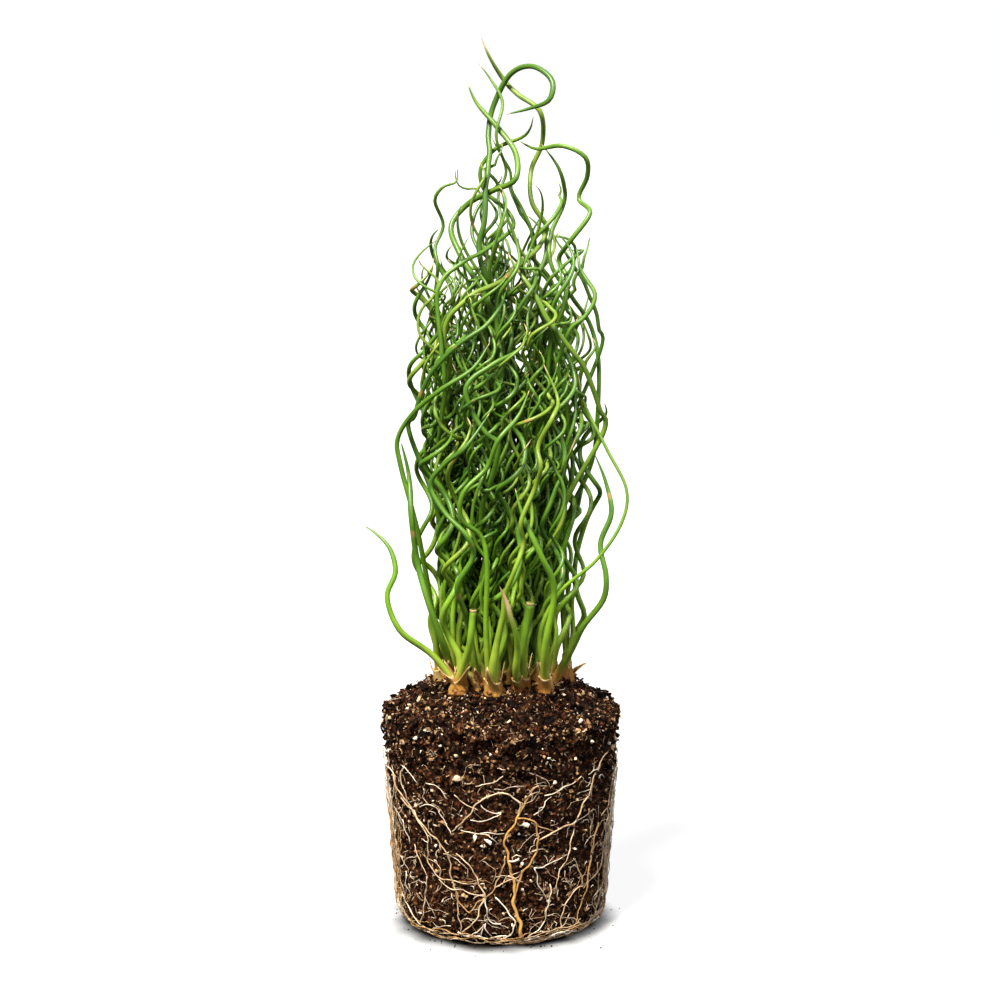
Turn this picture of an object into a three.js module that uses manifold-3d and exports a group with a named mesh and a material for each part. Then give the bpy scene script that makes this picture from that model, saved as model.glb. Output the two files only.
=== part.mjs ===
// Corkscrew rush (Juncus effusus 'Spiralis'), a young plant knocked out of its round nursery pot.
// It stands on its root ball: a tapered column of potting soil held together by a net of roots.
// The stems rise in small tufts, each from its own knob of rhizome, and corkscrew on the way up.
// Millimetres, +Z up, the origin at the middle of the root ball's flat underside, the front towards -Y.

import * as THREE from 'three';
import { mergeVertices } from 'three/addons/utils/BufferGeometryUtils.js';
import Module from 'manifold-3d';

const wasm = await Module();
wasm.setup();

const TURN = 2 * Math.PI;

// ---- Colours ----
const SOIL_COLOR = 0x33241b;
const ROOT_COLOR = 0xcdb083;
const FRESH_GREEN = 0x5f9e33;
const DEEP_GREEN = 0x3f7a2c;

// ---- Root ball ----
const BALL_HEIGHT = 83;
const BALL_TOP_RADIUS = 44;
const BALL_FOOT_RADIUS = 37;
const FOOT_FLAT_RADIUS = 31;      // the flat that the ball stands on
const FOOT_ROUNDING = 8;          // height over which the lower edge curves in
const RIM_ROUNDING = 7;           // the same for the upper edge
const SOIL_SIDES = 34;
const SOIL_RELIEF = 0.7;          // how far the crumbs stand out from the column, at most
const MOUND_RISE = 10;            // the soil is heaped this much in the middle of the top
const MOUND_RADIUS = 40;

// ---- Roots on the face of the ball ----
const ROOT_SIDES = 3;
const ROOT_LIFT = 0.5;            // air between a root and the highest crumb under it
const THICK_ROOT_RADIUS = 1.0;
const RUNNER_RADIUS = 0.7;
const BRANCH_RADIUS = 0.5;
const RUNNERS = 14;               // roots that run down the wall all round
const CIRCLING_TURNS = 2;         // the root wound round the foot of the ball
const CIRCLING_HEIGHT = 2.2;      // of its lower end
const CIRCLING_RISE = 2.3;        // per turn
const CIRCLING_STEPS = 24;        // straight facets in one turn

// ---- Tufts and stems ----
const TUFTS = 22;
const STEMS_PER_TUFT = 4;
const INNER_TUFTS = 8;            // those nearest the middle, which have one stem less
const CROWN_RADIUS = 24;          // from the middle of the clump to the middle of its outermost tuft
const CROWN_GAP = 1.3;            // the pattern starts this many tufts away from the middle
const KNOB_RADIUS = 3.6;
const KNOB_DEPTH = 9;
const KNOB_STANDS_OUT = 2.2;
const HOLE_CLEARANCE = 0.45;
const STEM_RING = 1.65;           // stems stand this far from the middle of their knob
const CROWN_HEIGHT = 92;          // where the knobs come out of the soil
const STEM_STARTS_BELOW = 6;
const STEM_SIDES = 3;
const STEM_STEP = 9.2;            // length of one straight facet along a stem
const STRAIGHT_STEP = 14;         // and near the soil, where stems curl least
const STRAIGHT_HEIGHT = 55;
const FACET_SWELL = 1.18;         // a triangle this much larger looks as wide as the round stem
const STEM_GAP = 0.3;             // air kept between the stems of different tufts
const BASE_FLARE = 0.4;           // stems are this much thicker at the soil
const FLARE_HEIGHT = 20;
const STEM_TAPER = 0.1;           // and this much thinner at their end
const TIP_RADIUS = 0.36;
const TIP_LENGTH = 20;            // stems narrow to a point over this length
const FUSED_HEIGHT = 14;          // below this, the stems of one tuft may grow together
const SPREAD = 1.42;              // the clump widens this much from the soil up
const SPREAD_HEIGHT = 32;
const CURL_HEIGHT = 26;           // the corkscrew opens over this height
const REACH_MIDDLE = 205;         // height above the crown of the tallest ordinary stems, in the middle
const REACH_EDGE = 134;           // and at the outside of the clump
const CLUMP_RADIUS = 37;
const SHEATH_LENGTH = 10;
const SHEATH_RADIUS = 0.9;
const SHEATH_RING = 2.5;          // from the middle of the knob
const SHEATH_LEAN = 1.6;          // how far its tip stands out from its foot
const RISE_STEP = 28;             // height between the waves of a leading stem, below its own points
const RISE_SWING = 4.5;
const LEADERS_PER_TUFT = 2;       // at most, as its two outer stems
const APART_ROUNDS = 90;
const PAIRS_LAST = 6;             // rounds for which the close pairs found once are kept
const SEED = 20;

// ---- Leading stems: the tall, wide and looping ones that give the clump its outline ----
// foot: where on the crown it rises. thick: its radius. way: points [x, y, z] that it passes.
// Three were cut off short and end blunt.
const LEADERS = [
  {
    name: 'loop', foot: [2, -14], thick: 1.1,
    way: [
      [-1.5, -6, 233], [-4.5, -11, 240], [-7, -13, 247], [-7.5, -12, 254], [-6, -11, 260], [-5.5, -9, 267],
      [-5.5, -7, 273], [-4.5, -5, 279], [-4, -1, 286], [-4.5, 2, 292], [-3, 4, 302], [3, 2, 313],
      [11, -4, 316], [18, -10, 311], [17, -12, 304], [10, -8, 301], [2, -6, 299],
    ],
  },
  {
    name: 'tall', foot: [-14, 2], thick: 0.98,
    way: [
      [-18.5, -16, 211], [-20.5, -18, 217], [-20.5, -19, 223], [-18.5, -20, 228], [-14.5, -20, 232],
      [-9.5, -19, 236], [-4.5, -17, 238], [0, -14, 240], [4, -10, 243], [8.5, -6, 247], [12.5, -2, 250],
      [15.5, 2, 254], [16.5, 3, 257], [16, 0, 260], [11, 0, 268], [11, 7, 279], [15, 6, 289],
      [14, -1, 300], [6, 3, 306], [1, 6, 311], [-4, 2, 319], [-7, 1, 326],
    ],
  },
  {
    name: 'hook', foot: [20, -8], thick: 0.98,
    way: [
      [18, -6, 216], [22, -9, 231], [24, -6, 240], [21, -2, 247], [25, -8, 254], [32, -7, 264],
      [28, 0, 269], [31, -4, 277], [30, -8, 284], [22, -6, 288], [13, 0, 287], [6, 5, 290],
    ],
  },
  {
    name: 'sweep', foot: [-8, -16], thick: 1.15,
    way: [
      [-1, -12, 222], [-8, -13, 238], [-15, -8, 250], [-18, -1, 259], [-12, 1, 267], [-3, -6, 272],
      [5, -12, 276], [5, -6, 285], [-2, 1, 294], [-9, 5, 303], [-12, 5, 310],
    ],
  },
  {
    name: 'kink', foot: [-20, 6], thick: 0.72,
    way: [
      [-20, 8, 215], [-24, 7, 230], [-23, 3, 244], [-24, 6, 251], [-21, 8, 259], [-24, 4, 268],
      [-21, 2, 273], [-16, 3, 275], [-16, 4, 281],
    ],
  },
  {
    name: 'cross', foot: [-16, -8], thick: 0.85,
    way: [
      [-22.5, -20, 233], [-22, -20, 238], [-20, -19, 242], [-16.5, -18, 245], [-12, -16, 248],
      [-7.5, -14, 250], [-3, -11, 253], [1.5, -7, 256], [4.5, -3, 259], [3.5, 1, 263], [-0.5, 3, 267],
      [-4.5, 4, 270], [-7, 4, 274], [-7.5, 4, 279], [-5.5, 4, 283], [-1.5, 3, 287], [3, 2, 289],
      [8, 0, 291], [10.5, -3, 294], [11.5, -6, 298],
    ],
  },
  {
    name: 'right_arc', foot: [22, 6], thick: 0.88,
    way: [
      [36, 2, 205], [33, 5, 222], [26, 0, 233], [18, -3, 245], [18, 3, 256], [23, 5, 268],
      [21, -1, 279], [14, -1, 288],
    ],
  },
  {
    name: 'thin_tip', foot: [-2, -4], thick: 0.62,
    way: [
      [-5, 0, 238], [0, -7, 258], [-1, -1, 270], [2, 2, 279], [-1, -2, 291], [1, 2, 303],
      [-4, 5, 312], [-8, 5, 317],
    ],
  },
  {
    name: 'left_low', foot: [-22, -16], thick: 0.98,
    way: [
      [-23, -20, 105], [-36, -25, 115], [-41, -25, 127], [-38, -23, 136], [-40, -20, 144],
      [-45, -17, 149], [-50, -15, 152],
    ],
  },
  {
    name: 'right_low', foot: [24, -10], thick: 1.05,
    way: [
      [26, -12, 106], [30, -16, 115], [37, -18, 125], [38, -18, 134], [36, -15, 145],
      [40, -13, 156], [38, -10, 167], [34, -8, 177],
    ],
  },
  {
    name: 'right_reach', foot: [14, -18], thick: 0.88,
    way: [
      [14, -23, 112], [21, -26, 129], [34, -27, 141], [43, -25, 154], [45, -22, 166],
      [38, -16, 180], [30, -10, 196], [28, -8, 206],
    ],
  },
  { name: 'stub_right', foot: [8, -18], thick: 1.35, cut: true, way: [[7.5, -25, 106], [10.5, -29, 126]] },
  { name: 'stub_left', foot: [-13, -20], thick: 1.2, cut: true, way: [[-12, -25, 108], [-10.5, -29, 124]] },
  {
    name: 'front_dry', foot: [6, -18], thick: 1.05,
    way: [
      [5.5, -25, 100], [6, -29, 108], [5.5, -33, 115], [3.5, -36, 122], [2, -38, 128], [-0.5, -40, 134],
    ],
  },
  {
    name: 'front_pale', foot: [-4, -24], thick: 1.2,
    way: [
      [-3, -27, 100], [-2, -29, 108], [-0.5, -31, 116], [1, -33, 123], [1.5, -35, 130], [5, -39, 140],
      [8, -37, 149], [7, -40, 157], [12, -38, 169], [14, -42, 177], [13, -39, 184], [18, -40, 194],
      [20, -34, 200], [15, -31, 212],
    ],
  },
  {
    name: 'left_front', foot: [-17, -12], thick: 1.12,
    way: [[-20, -23, 108], [-26, -28, 126], [-30, -25, 140], [-32, -28, 157], [-33, -22, 171], [-36, -21, 184]],
  },
  {
    name: 'left_wave', foot: [-10, -14], thick: 0.98,
    way: [
      [-12, -29, 120], [-15.5, -36, 133], [-10, -37, 144], [-12, -40, 152], [-20, -36, 160], [-25, -33, 169],
      [-20, -36, 177], [-12, -39, 184], [-4, -34, 195],
    ],
  },
  {
    name: 'middle_wave', foot: [-3, -14], thick: 0.92,
    way: [
      [-5, -34, 140], [-7, -35, 151], [-14, -39, 158], [-13, -41, 168], [-5, -38, 176], [-1, -40, 186],
      [6, -36, 194], [10, -33, 203],
    ],
  },
  {
    name: 'right_front', foot: [13, -20], thick: 1.15,
    way: [[16, -28, 110], [19, -33, 131], [14, -38, 145], [8, -36, 158], [5, -33, 168]],
  },
  {
    name: 'left_arc', foot: [-22, -4], thick: 0.95,
    way: [
      [-30, -19, 150], [-36, -19, 174], [-37, -19, 184], [-31, -23, 194], [-22, -27, 202], [-10, -27, 210],
      [-4, -24, 219],
    ],
  },
  {
    name: 'inner', foot: [10, 4], thick: 0.62,
    way: [
      [11.5, 9, 256], [9.5, 9, 262], [7, 9, 267], [4, 8, 272], [3.5, 8, 278], [1.5, 8, 282], [-1, 9, 286],
      [-3.5, 9, 291],
    ],
  },
  {
    name: 'twig', foot: [-10, 8], thick: 0.5,
    way: [
      [-5, 8, 249], [-6, 9, 256], [-7.5, 10, 263], [-7, 11, 267], [-8.5, 11, 272], [-12, 11, 272],
      [-15, 10, 273], [-16.5, 9, 276], [-16.5, 9, 280],
    ],
  },
  {
    name: 'long_slant', foot: [18, -14], thick: 1,
    way: [
      [37, -10, 185], [35.5, -13, 194], [32.5, -16, 203], [29.5, -18, 210], [25, -20, 216],
      [20.5, -21, 222], [16.5, -21, 227], [13.5, -20, 233], [10.5, -18, 238], [7.5, -16, 242],
      [4.5, -12, 246], [2.5, -8, 250],
    ],
  },
  {
    name: 'right_bend', foot: [20, 2], thick: 0.9,
    way: [
      [20, -12, 207], [21, -14, 213], [23, -15, 219], [25.5, -16, 224], [29.5, -16, 227], [33, -15, 232],
      [33.5, -14, 236], [31, -12, 240], [28.5, -10, 244], [27.5, -8, 249], [26, -6, 254],
    ],
  },
  {
    name: 'middle_bend', foot: [-4, -12], thick: 1,
    way: [
      [-1, -30, 181], [-5, -31, 187], [-8.5, -31, 192], [-11.5, -31, 198], [-12.5, -31, 203],
      [-10, -30, 207], [-5.5, -29, 210], [-0.5, -28, 213], [4, -26, 215], [8, -24, 218], [10.5, -22, 223],
    ],
  },
  {
    name: 'left_curl', foot: [-24, 4], thick: 0.62,
    way: [
      [-17, -4, 206], [-21, -7, 212], [-25.5, -8, 216], [-29, -8, 220], [-30, -7, 225], [-28.5, -6, 230],
      [-25.5, -5, 233], [-23.5, -4, 237], [-24, -3, 240], [-27.5, -2, 243], [-30, -2, 246],
      [-30.5, -2, 249],
    ],
  },
  {
    name: 'left_slant', foot: [-22, -10], thick: 0.95,
    way: [
      [-33, -16, 186], [-31, -19, 192], [-29, -21, 199], [-26.5, -23, 205], [-23.5, -25, 210],
      [-19, -26, 215], [-14.5, -27, 219], [-10, -27, 222], [-5.5, -26, 225], [-2, -24, 229],
      [0.5, -21, 233], [2, -17, 238],
    ],
  },
  {
    name: 'right_slant', foot: [26, 6], thick: 0.8,
    way: [
      [36.5, 0, 215], [35.5, -2, 222], [34.5, -3, 228], [32, -4, 234], [29.5, -4, 240], [26, -4, 245],
      [23, -3, 250], [20.5, -2, 253], [19, -2, 257],
    ],
  },
];

// ---- Roots of the front face, laid by hand as [degrees from the front towards +X, height] ----
// A root with a rise climbs from the circling root at that bearing. The others branch off.
const FRONT_ROOTS = [
  { radius: THICK_ROOT_RADIUS, rise: 12, way: [[9, 12], [7, 18], [8, 26], [3, 36], [3, 43], [8, 50]] },
  { radius: RUNNER_RADIUS, way: [[8, 50], [8, 57], [1, 60], [-6, 57], [-16, 49]] },
  { radius: RUNNER_RADIUS, way: [[8, 50], [12, 55], [16, 61]] },
  { radius: RUNNER_RADIUS, rise: 14, way: [[10.5, 15], [11, 25], [19, 42], [15, 49], [8, 50]] },
  { radius: RUNNER_RADIUS, way: [[19, 42], [29, 45], [40, 47], [46, 57], [55, 66]] },
  { radius: RUNNER_RADIUS, way: [[40, 47], [36, 33], [30, 21]] },
  { radius: RUNNER_RADIUS, rise: 8, way: [[4, 13], [-2, 18], [-8, 20], [-15, 30], [-26, 37]] },
  { radius: RUNNER_RADIUS, rise: -22, way: [[-17, 14], [-8, 20], [-1, 27], [3, 37]] },
  { radius: RUNNER_RADIUS, rise: -26, way: [[-25, 20], [-28, 34], [-38, 42], [-47, 51], [-60, 58]] },
  { radius: RUNNER_RADIUS, rise: -50, way: [[-43, 20], [-42, 35], [-51, 46], [-57, 54]] },
];
const FRONT_ARC = [-62, 60];      // degrees of the wall that the hand-laid roots cover

// ---- Random draws ----

/** A repeatable source of draws between low and high, so that every build grows the same plant. */
function drawSource(seed) {
  let state = seed;
  return (low, high) => {
    state = (state * 1664525 + 1013904223) % 4294967296;
    return low + (high - low) * (state / 4294967296);
  };
}

// ---- Solids ----

/** A closed three.js geometry as a manifold-3d solid. */
function toSolid(geometry) {
  geometry.deleteAttribute('normal');
  geometry.deleteAttribute('uv');
  const merged = mergeVertices(geometry, 1e-4);
  return new wasm.Manifold(new wasm.Mesh({
    numProp: 3,
    vertProperties: merged.attributes.position.array,
    triVerts: new Uint32Array(merged.index.array),
  }));
}

/** A manifold-3d solid as a three.js geometry. */
function toGeometry(solid) {
  const mesh = solid.getMesh();
  const geometry = new THREE.BufferGeometry();
  geometry.setAttribute('position', new THREE.BufferAttribute(mesh.vertProperties, 3));
  geometry.setIndex(new THREE.BufferAttribute(mesh.triVerts, 1));
  geometry.computeVertexNormals();
  return geometry;
}

/** Solids fused into one body. A hollow that this seals is filled, and a loose scrap is dropped. */
function fuse(solids) {
  const bodies = solids.reduce((whole, next) => whole.add(next)).decompose();
  return bodies.reduce((most, body) => (body.volume() > most.volume() ? body : most));
}

/** A tube along points: a cylinder whose rings are carried along the line without twisting. */
function bentTube(points, radii, sides) {
  const steps = points.length - 1;
  const geometry = new THREE.CylinderGeometry(1, 1, steps, sides, steps);
  const across = new THREE.Vector3(0.31, 0.95, 0);
  const rings = points.map((point, i) => {
    const along = points[Math.min(i + 1, steps)].clone().sub(points[Math.max(i - 1, 0)]).normalize();
    across.addScaledVector(along, -across.dot(along)).normalize();
    const other = new THREE.Vector3().crossVectors(across, along);
    return { point, radius: radii[i], across: across.clone(), other };
  });
  const position = geometry.attributes.position;
  for (let i = 0; i < position.count; i++) {
    const ring = rings[Math.round(position.getY(i) + steps / 2)];
    const moved = ring.point.clone()
      .addScaledVector(ring.across, position.getX(i) * ring.radius)
      .addScaledVector(ring.other, position.getZ(i) * ring.radius);
    position.setXYZ(i, moved.x, moved.y, moved.z);
  }
  return toSolid(geometry);
}

// ---- Lines ----

const dot = (a, b) => a[0] * b[0] + a[1] * b[1] + a[2] * b[2];
const minus = (a, b) => [a[0] - b[0], a[1] - b[1], a[2] - b[2]];
const clamp = (x) => Math.min(1, Math.max(0, x));

/** A smooth line through the points: a uniform Catmull-Rom spline with its end points doubled. */
function smoothLine(points, stepsPerSpan) {
  const line = [];
  const last = points.length - 1;
  for (let i = 0; i < last; i++) {
    const [a, b] = [points[Math.max(i - 1, 0)], points[i]];
    const [c, d] = [points[i + 1], points[Math.min(i + 2, last)]];
    for (let s = 0; s < stepsPerSpan; s++) {
      const t = s / stepsPerSpan;
      const at = (k) => 0.5 * (2 * b[k] + (c[k] - a[k]) * t + (2 * a[k] - 5 * b[k] + 4 * c[k] - d[k]) * t * t
        + (3 * b[k] - a[k] - 3 * c[k] + d[k]) * t * t * t);
      line.push([at(0), at(1), at(2)]);
    }
  }
  line.push(points[last]);
  return line;
}

/** The length of one facet of a stem at a height: long near the soil, short where it curls. */
function facetLength(z) {
  const curl = clamp((z - CROWN_HEIGHT) / STRAIGHT_HEIGHT);
  return STRAIGHT_STEP + (STEM_STEP - STRAIGHT_STEP) * curl;
}

/** The same line in facets, each as long as its height asks. */
function inFacets(line) {
  const facets = [0];
  for (let i = 1; i < line.length; i++) {
    const length = Math.hypot(...minus(line[i], line[i - 1]));
    facets.push(facets[i - 1] + length / facetLength(line[i][2]));
  }
  const total = facets[facets.length - 1];
  const count = Math.max(2, Math.round(total));
  const points = [];
  let i = 0;
  for (let n = 0; n <= count; n++) {
    const want = (total * n) / count;
    while (i < line.length - 2 && facets[i + 1] < want) i++;
    const t = (want - facets[i]) / (facets[i + 1] - facets[i]);
    points.push(line[i].map((v, k) => v + (line[i + 1][k] - v) * t));
  }
  return points;
}

// ---- Root ball ----

/** Radius of the ball's wall at a height, with no crumbs on it. */
function wallRadius(z) {
  const straight = BALL_FOOT_RADIUS + (BALL_TOP_RADIUS - BALL_FOOT_RADIUS) * (z / BALL_HEIGHT);
  const low = Math.max(0, 1 - z / FOOT_ROUNDING);
  const high = Math.max(0, 1 - (BALL_HEIGHT - z) / RIM_ROUNDING);
  return straight - (BALL_FOOT_RADIUS - FOOT_FLAT_RADIUS) * low ** 2.2 - RIM_ROUNDING * 0.6 * high ** 2.2;
}

/** Height of the soil's heaped top at a distance from the middle, with no crumbs on it. */
function moundHeight(radius) {
  return BALL_HEIGHT + MOUND_RISE * (1 - Math.min(1, radius / MOUND_RADIUS) ** 4);
}

/** The crumbs as a share of the relief, from -1 to 1. */
function crumb(angle, height) {
  return (Math.sin(9 * angle + 0.31 * height) + Math.sin(5 * angle - 0.23 * height + 1.3)
    + Math.sin(14 * angle + 0.55 * height + 4)) / 3;
}

/** The soil: a turned column with crumbs raised on it, and a plain hole for each tuft's knob. */
function makeSoil(tufts) {
  const heights = [0, 1.6, 4, 8, 20, 34, 48, 62, 75, 80.5, BALL_HEIGHT];
  const topRadii = [37, 32, 25, 14, 0];
  const profile = [
    new THREE.Vector2(0, 0),
    ...heights.map((z) => new THREE.Vector2(wallRadius(z), z)),
    ...topRadii.map((radius) => new THREE.Vector2(radius, moundHeight(radius))),
  ];
  const geometry = new THREE.LatheGeometry(profile, SOIL_SIDES);
  geometry.rotateX(Math.PI / 2);
  const position = geometry.attributes.position;
  for (let i = 0; i < position.count; i++) {
    const [x, y, z] = [position.getX(i), position.getY(i), position.getZ(i)];
    const radius = Math.hypot(x, y);
    if (z < 0.5 || radius < 1) continue;
    const raise = SOIL_RELIEF * crumb(Math.atan2(y, x), z + radius) * Math.min(1, z / FOOT_ROUNDING);
    const grow = 1 + raise / radius;
    position.setXYZ(i, x * grow, y * grow, z > BALL_HEIGHT - 1 ? z + raise : z);
  }
  const holeRadius = KNOB_RADIUS + HOLE_CLEARANCE;
  const holes = tufts.map((tuft) => {
    const hole = new THREE.CylinderGeometry(holeRadius, holeRadius, 2 * KNOB_DEPTH, 8);
    hole.rotateY(Math.PI / 8);
    hole.rotateX(Math.PI / 2);
    return toSolid(hole.translate(tuft.x, tuft.y, CROWN_HEIGHT - HOLE_CLEARANCE));
  });
  return holes.reduce((soil, hole) => soil.subtract(hole), toSolid(geometry));
}

/** A point of a root's middle line, just off the wall: angle from the front towards +X, in radians. */
function onWall(angle, z, radius) {
  const out = wallRadius(z) + SOIL_RELIEF + ROOT_LIFT + radius;
  return [out * Math.sin(angle), -out * Math.cos(angle), z];
}

/** One root as a solid, from its way in [radians, height]. */
function rootSolid(way, radius, facetsPerSpan) {
  const flat = smoothLine(way.map(([angle, z]) => [angle, z, 0]), facetsPerSpan);
  const line = flat.map(([angle, z]) => new THREE.Vector3(...onWall(angle, z, radius)));
  return bentTube(line, line.map(() => radius), ROOT_SIDES);
}

/** The height of the circling root after some turns. */
const circlingHeight = (turns) => CIRCLING_HEIGHT + CIRCLING_RISE * turns + 0.5 * Math.sin(3 * TURN * turns);

/** A point of the circling root's upper turn, as [radians, height], where a root can climb from it. */
function onCircling(angle) {
  const turn = ((angle / TURN) % 1 + 1) % 1;
  return [angle, circlingHeight(CIRCLING_TURNS - 1 + turn)];
}

/** The root net: a root that circles the foot of the ball, the front roots, and runners all round. */
function makeRoots(draw) {
  const circling = [];
  for (let i = 0; i <= CIRCLING_STEPS * CIRCLING_TURNS; i++) {
    const turns = i / CIRCLING_STEPS;
    circling.push(new THREE.Vector3(...onWall(TURN * turns, circlingHeight(turns), THICK_ROOT_RADIUS)));
  }
  const solids = [bentTube(circling, circling.map(() => THICK_ROOT_RADIUS), ROOT_SIDES)];
  const radians = THREE.MathUtils.degToRad;
  for (const root of FRONT_ROOTS) {
    const way = root.way.map(([degrees, z]) => [radians(degrees), z]);
    if (root.rise !== undefined) way.unshift(onCircling(radians(root.rise)));
    solids.push(rootSolid(way, root.radius, 2));
  }
  const [from, to] = [radians(FRONT_ARC[1]), TURN + radians(FRONT_ARC[0])];
  for (let k = 0; k < RUNNERS; k++) {
    const foot = from + ((to - from) * (k + 0.5)) / RUNNERS + draw(-0.05, 0.05);
    const head = foot + draw(-0.3, 0.3);
    const top = draw(44, 66);
    const sway = draw(0.04, 0.09);
    const phase = draw(0, TURN);
    const at = (t) => [foot + (head - foot) * t + sway * Math.sin(phase + 8 * t), top * t];
    const way = [onCircling(foot), ...[0.25, 0.5, 0.75, 1].map(at)];
    solids.push(rootSolid(way, RUNNER_RADIUS, 1));
    const [angle, z] = way[draw(0, 1) < 0.5 ? 1 : 2];
    const across = draw(0.2, 0.4) * (draw(0, 1) < 0.5 ? -1 : 1);
    const climb = draw(6, 20);
    const side = [[angle, z], [angle + across * 0.5, z + climb * 0.7], [angle + across, z + climb]];
    solids.push(rootSolid(side, BRANCH_RADIUS, 1));
  }
  return fuse(solids);
}

// ---- Stems ----

/** Where the tufts stand: a sunflower pattern over the crown. */
function placeTufts() {
  const golden = Math.PI * (3 - Math.sqrt(5));
  return Array.from({ length: TUFTS }, (_, k) => {
    const radius = CROWN_RADIUS * Math.sqrt((k + CROWN_GAP) / (TUFTS - 1 + CROWN_GAP));
    return { x: radius * Math.cos(k * golden), y: radius * Math.sin(k * golden), leaders: [] };
  });
}

/** Hands each leading stem to the tuft nearest to its foot that has room. */
function shareLeaders(tufts) {
  for (const leader of LEADERS) {
    const distance = (tuft) => Math.hypot(tuft.x - leader.foot[0], tuft.y - leader.foot[1]);
    const free = tufts.filter((tuft) => tuft.leaders.length < LEADERS_PER_TUFT);
    free.sort((a, b) => distance(a) - distance(b))[0].leaders.push(leader);
  }
}

/** The way of a leading stem: up through the clump in one slow wave, and then through its own points. */
function leaderLine(foot, leader) {
  const first = leader.way[0];
  const rise = [];
  const count = Math.max(1, Math.round((first[2] - CROWN_HEIGHT) / RISE_STEP));
  for (let i = 1; i < count; i++) {
    const t = i / count;
    const swing = RISE_SWING * Math.sin(Math.PI * t);
    rise.push([
      foot[0] + (first[0] - foot[0]) * t * t + swing * Math.cos(2.2 * i + foot[0]),
      foot[1] + (first[1] - foot[1]) * t * t + swing * Math.sin(2.2 * i + foot[0]),
      CROWN_HEIGHT + (first[2] - CROWN_HEIGHT) * t,
    ]);
  }
  return smoothLine([[foot[0], foot[1], CROWN_HEIGHT], ...rise, ...leader.way], 10);
}

/** The way of an ordinary stem: a leaning line with a corkscrew round it that widens from the soil up. */
function curlyLine(foot, thick, draw) {
  const from = Math.hypot(foot[0], foot[1]);
  const bearing = Math.atan2(foot[1], foot[0]);
  const to = from * SPREAD + draw(-3, 3);
  const drift = draw(-0.3, 0.3);
  const share = Math.min(1, (to / CLUMP_RADIUS) ** 2);
  const reach = (REACH_MIDDLE - (REACH_MIDDLE - REACH_EDGE) * share) * draw(0.6, 1);
  const swing = (2.2 + 1.9 * thick) * draw(0.7, 1.5);
  const pitch = (18 + 15 * thick) * draw(0.8, 1.25);
  const hand = draw(0, 1) < 0.8 ? 1 : -1;
  const [phase, wobble, plane, tilt] = [draw(0, TURN), draw(0, TURN), draw(0, TURN), draw(-0.9, 0.9)];
  const line = [];
  const samples = 140;
  for (let i = 0; i <= samples; i++) {
    const above = (reach * i) / samples;
    const out = from + (to - from) * (1 - Math.exp(-above / SPREAD_HEIGHT));
    const heading = bearing + (drift * above) / 100;
    const unrest = 0.85 + above / 500 + 0.3 * Math.sin(wobble + above / 10);
    const width = swing * unrest * (1 - Math.exp(-((above / CURL_HEIGHT) ** 2)));
    const waver = 0.7 * Math.sin(wobble + (TURN * above) / (1.7 * pitch));
    const turn = phase + hand * ((TURN * above) / pitch + waver);
    const [c, s] = [width * Math.cos(turn), width * Math.sin(turn)];
    line.push([
      out * Math.cos(heading) + c * Math.cos(plane) - s * Math.sin(plane) * Math.cos(tilt),
      out * Math.sin(heading) + c * Math.sin(plane) + s * Math.cos(plane) * Math.cos(tilt),
      CROWN_HEIGHT + above + s * Math.sin(tilt),
    ]);
  }
  return line;
}

/** A stem's radius at each point: a flare at the soil, a slow taper, and a point unless it was cut off. */
function stemRadii(points, thick, cut) {
  const last = points.length - 1;
  return points.map(([, , z], i) => {
    const flare = 1 + BASE_FLARE * Math.exp(-Math.max(0, z - CROWN_HEIGHT) / FLARE_HEIGHT);
    const toTip = cut ? 1 : Math.min(1, ((last - i) * STEM_STEP) / TIP_LENGTH) ** 0.6;
    return Math.max(TIP_RADIUS, thick * flare * (1 - (STEM_TAPER * i) / last) * toTip);
  });
}

/** All the stems and basal sheaths of one tuft, as lines with a radius at each point. */
function growTuft(tuft, index, draw) {
  const stems = [];
  const lean = Math.atan2(tuft.y, tuft.x);
  const count = index < INNER_TUFTS ? STEMS_PER_TUFT - 1 : STEMS_PER_TUFT;
  for (let i = 0; i < count; i++) {
    const angle = lean + (TURN * (i + 0.5)) / count + draw(-0.25, 0.25);
    const foot = [tuft.x + STEM_RING * Math.cos(angle), tuft.y + STEM_RING * Math.sin(angle)];
    const leader = tuft.leaders[[0, count - 1].indexOf(i)];
    const size = draw(0, 1);
    const ordinary = size < 0.35 ? draw(0.98, 1.15) : size < 0.75 ? draw(0.8, 0.98) : draw(0.62, 0.8);
    const thick = leader ? leader.thick : ordinary;
    const line = leader ? leaderLine(foot, leader) : curlyLine(foot, thick, draw);
    const points = [[...foot, CROWN_HEIGHT - STEM_STARTS_BELOW], ...inFacets(line)];
    stems.push({ tuft: index, points, radii: stemRadii(points, thick, leader?.cut) });
  }
  const sheathAngle = lean + draw(-0.6, 0.6);
  const out = [Math.cos(sheathAngle), Math.sin(sheathAngle)];
  const sheath = [0, 0.5, 1].map((t) => [
    tuft.x + out[0] * (SHEATH_RING + SHEATH_LEAN * t),
    tuft.y + out[1] * (SHEATH_RING + SHEATH_LEAN * t),
    CROWN_HEIGHT - 1 + SHEATH_LENGTH * t,
  ]);
  stems.push({ tuft: index, points: sheath, radii: [SHEATH_RADIUS, SHEATH_RADIUS, TIP_RADIUS] });
  return stems;
}

// ---- Keeping the stems apart ----

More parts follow.
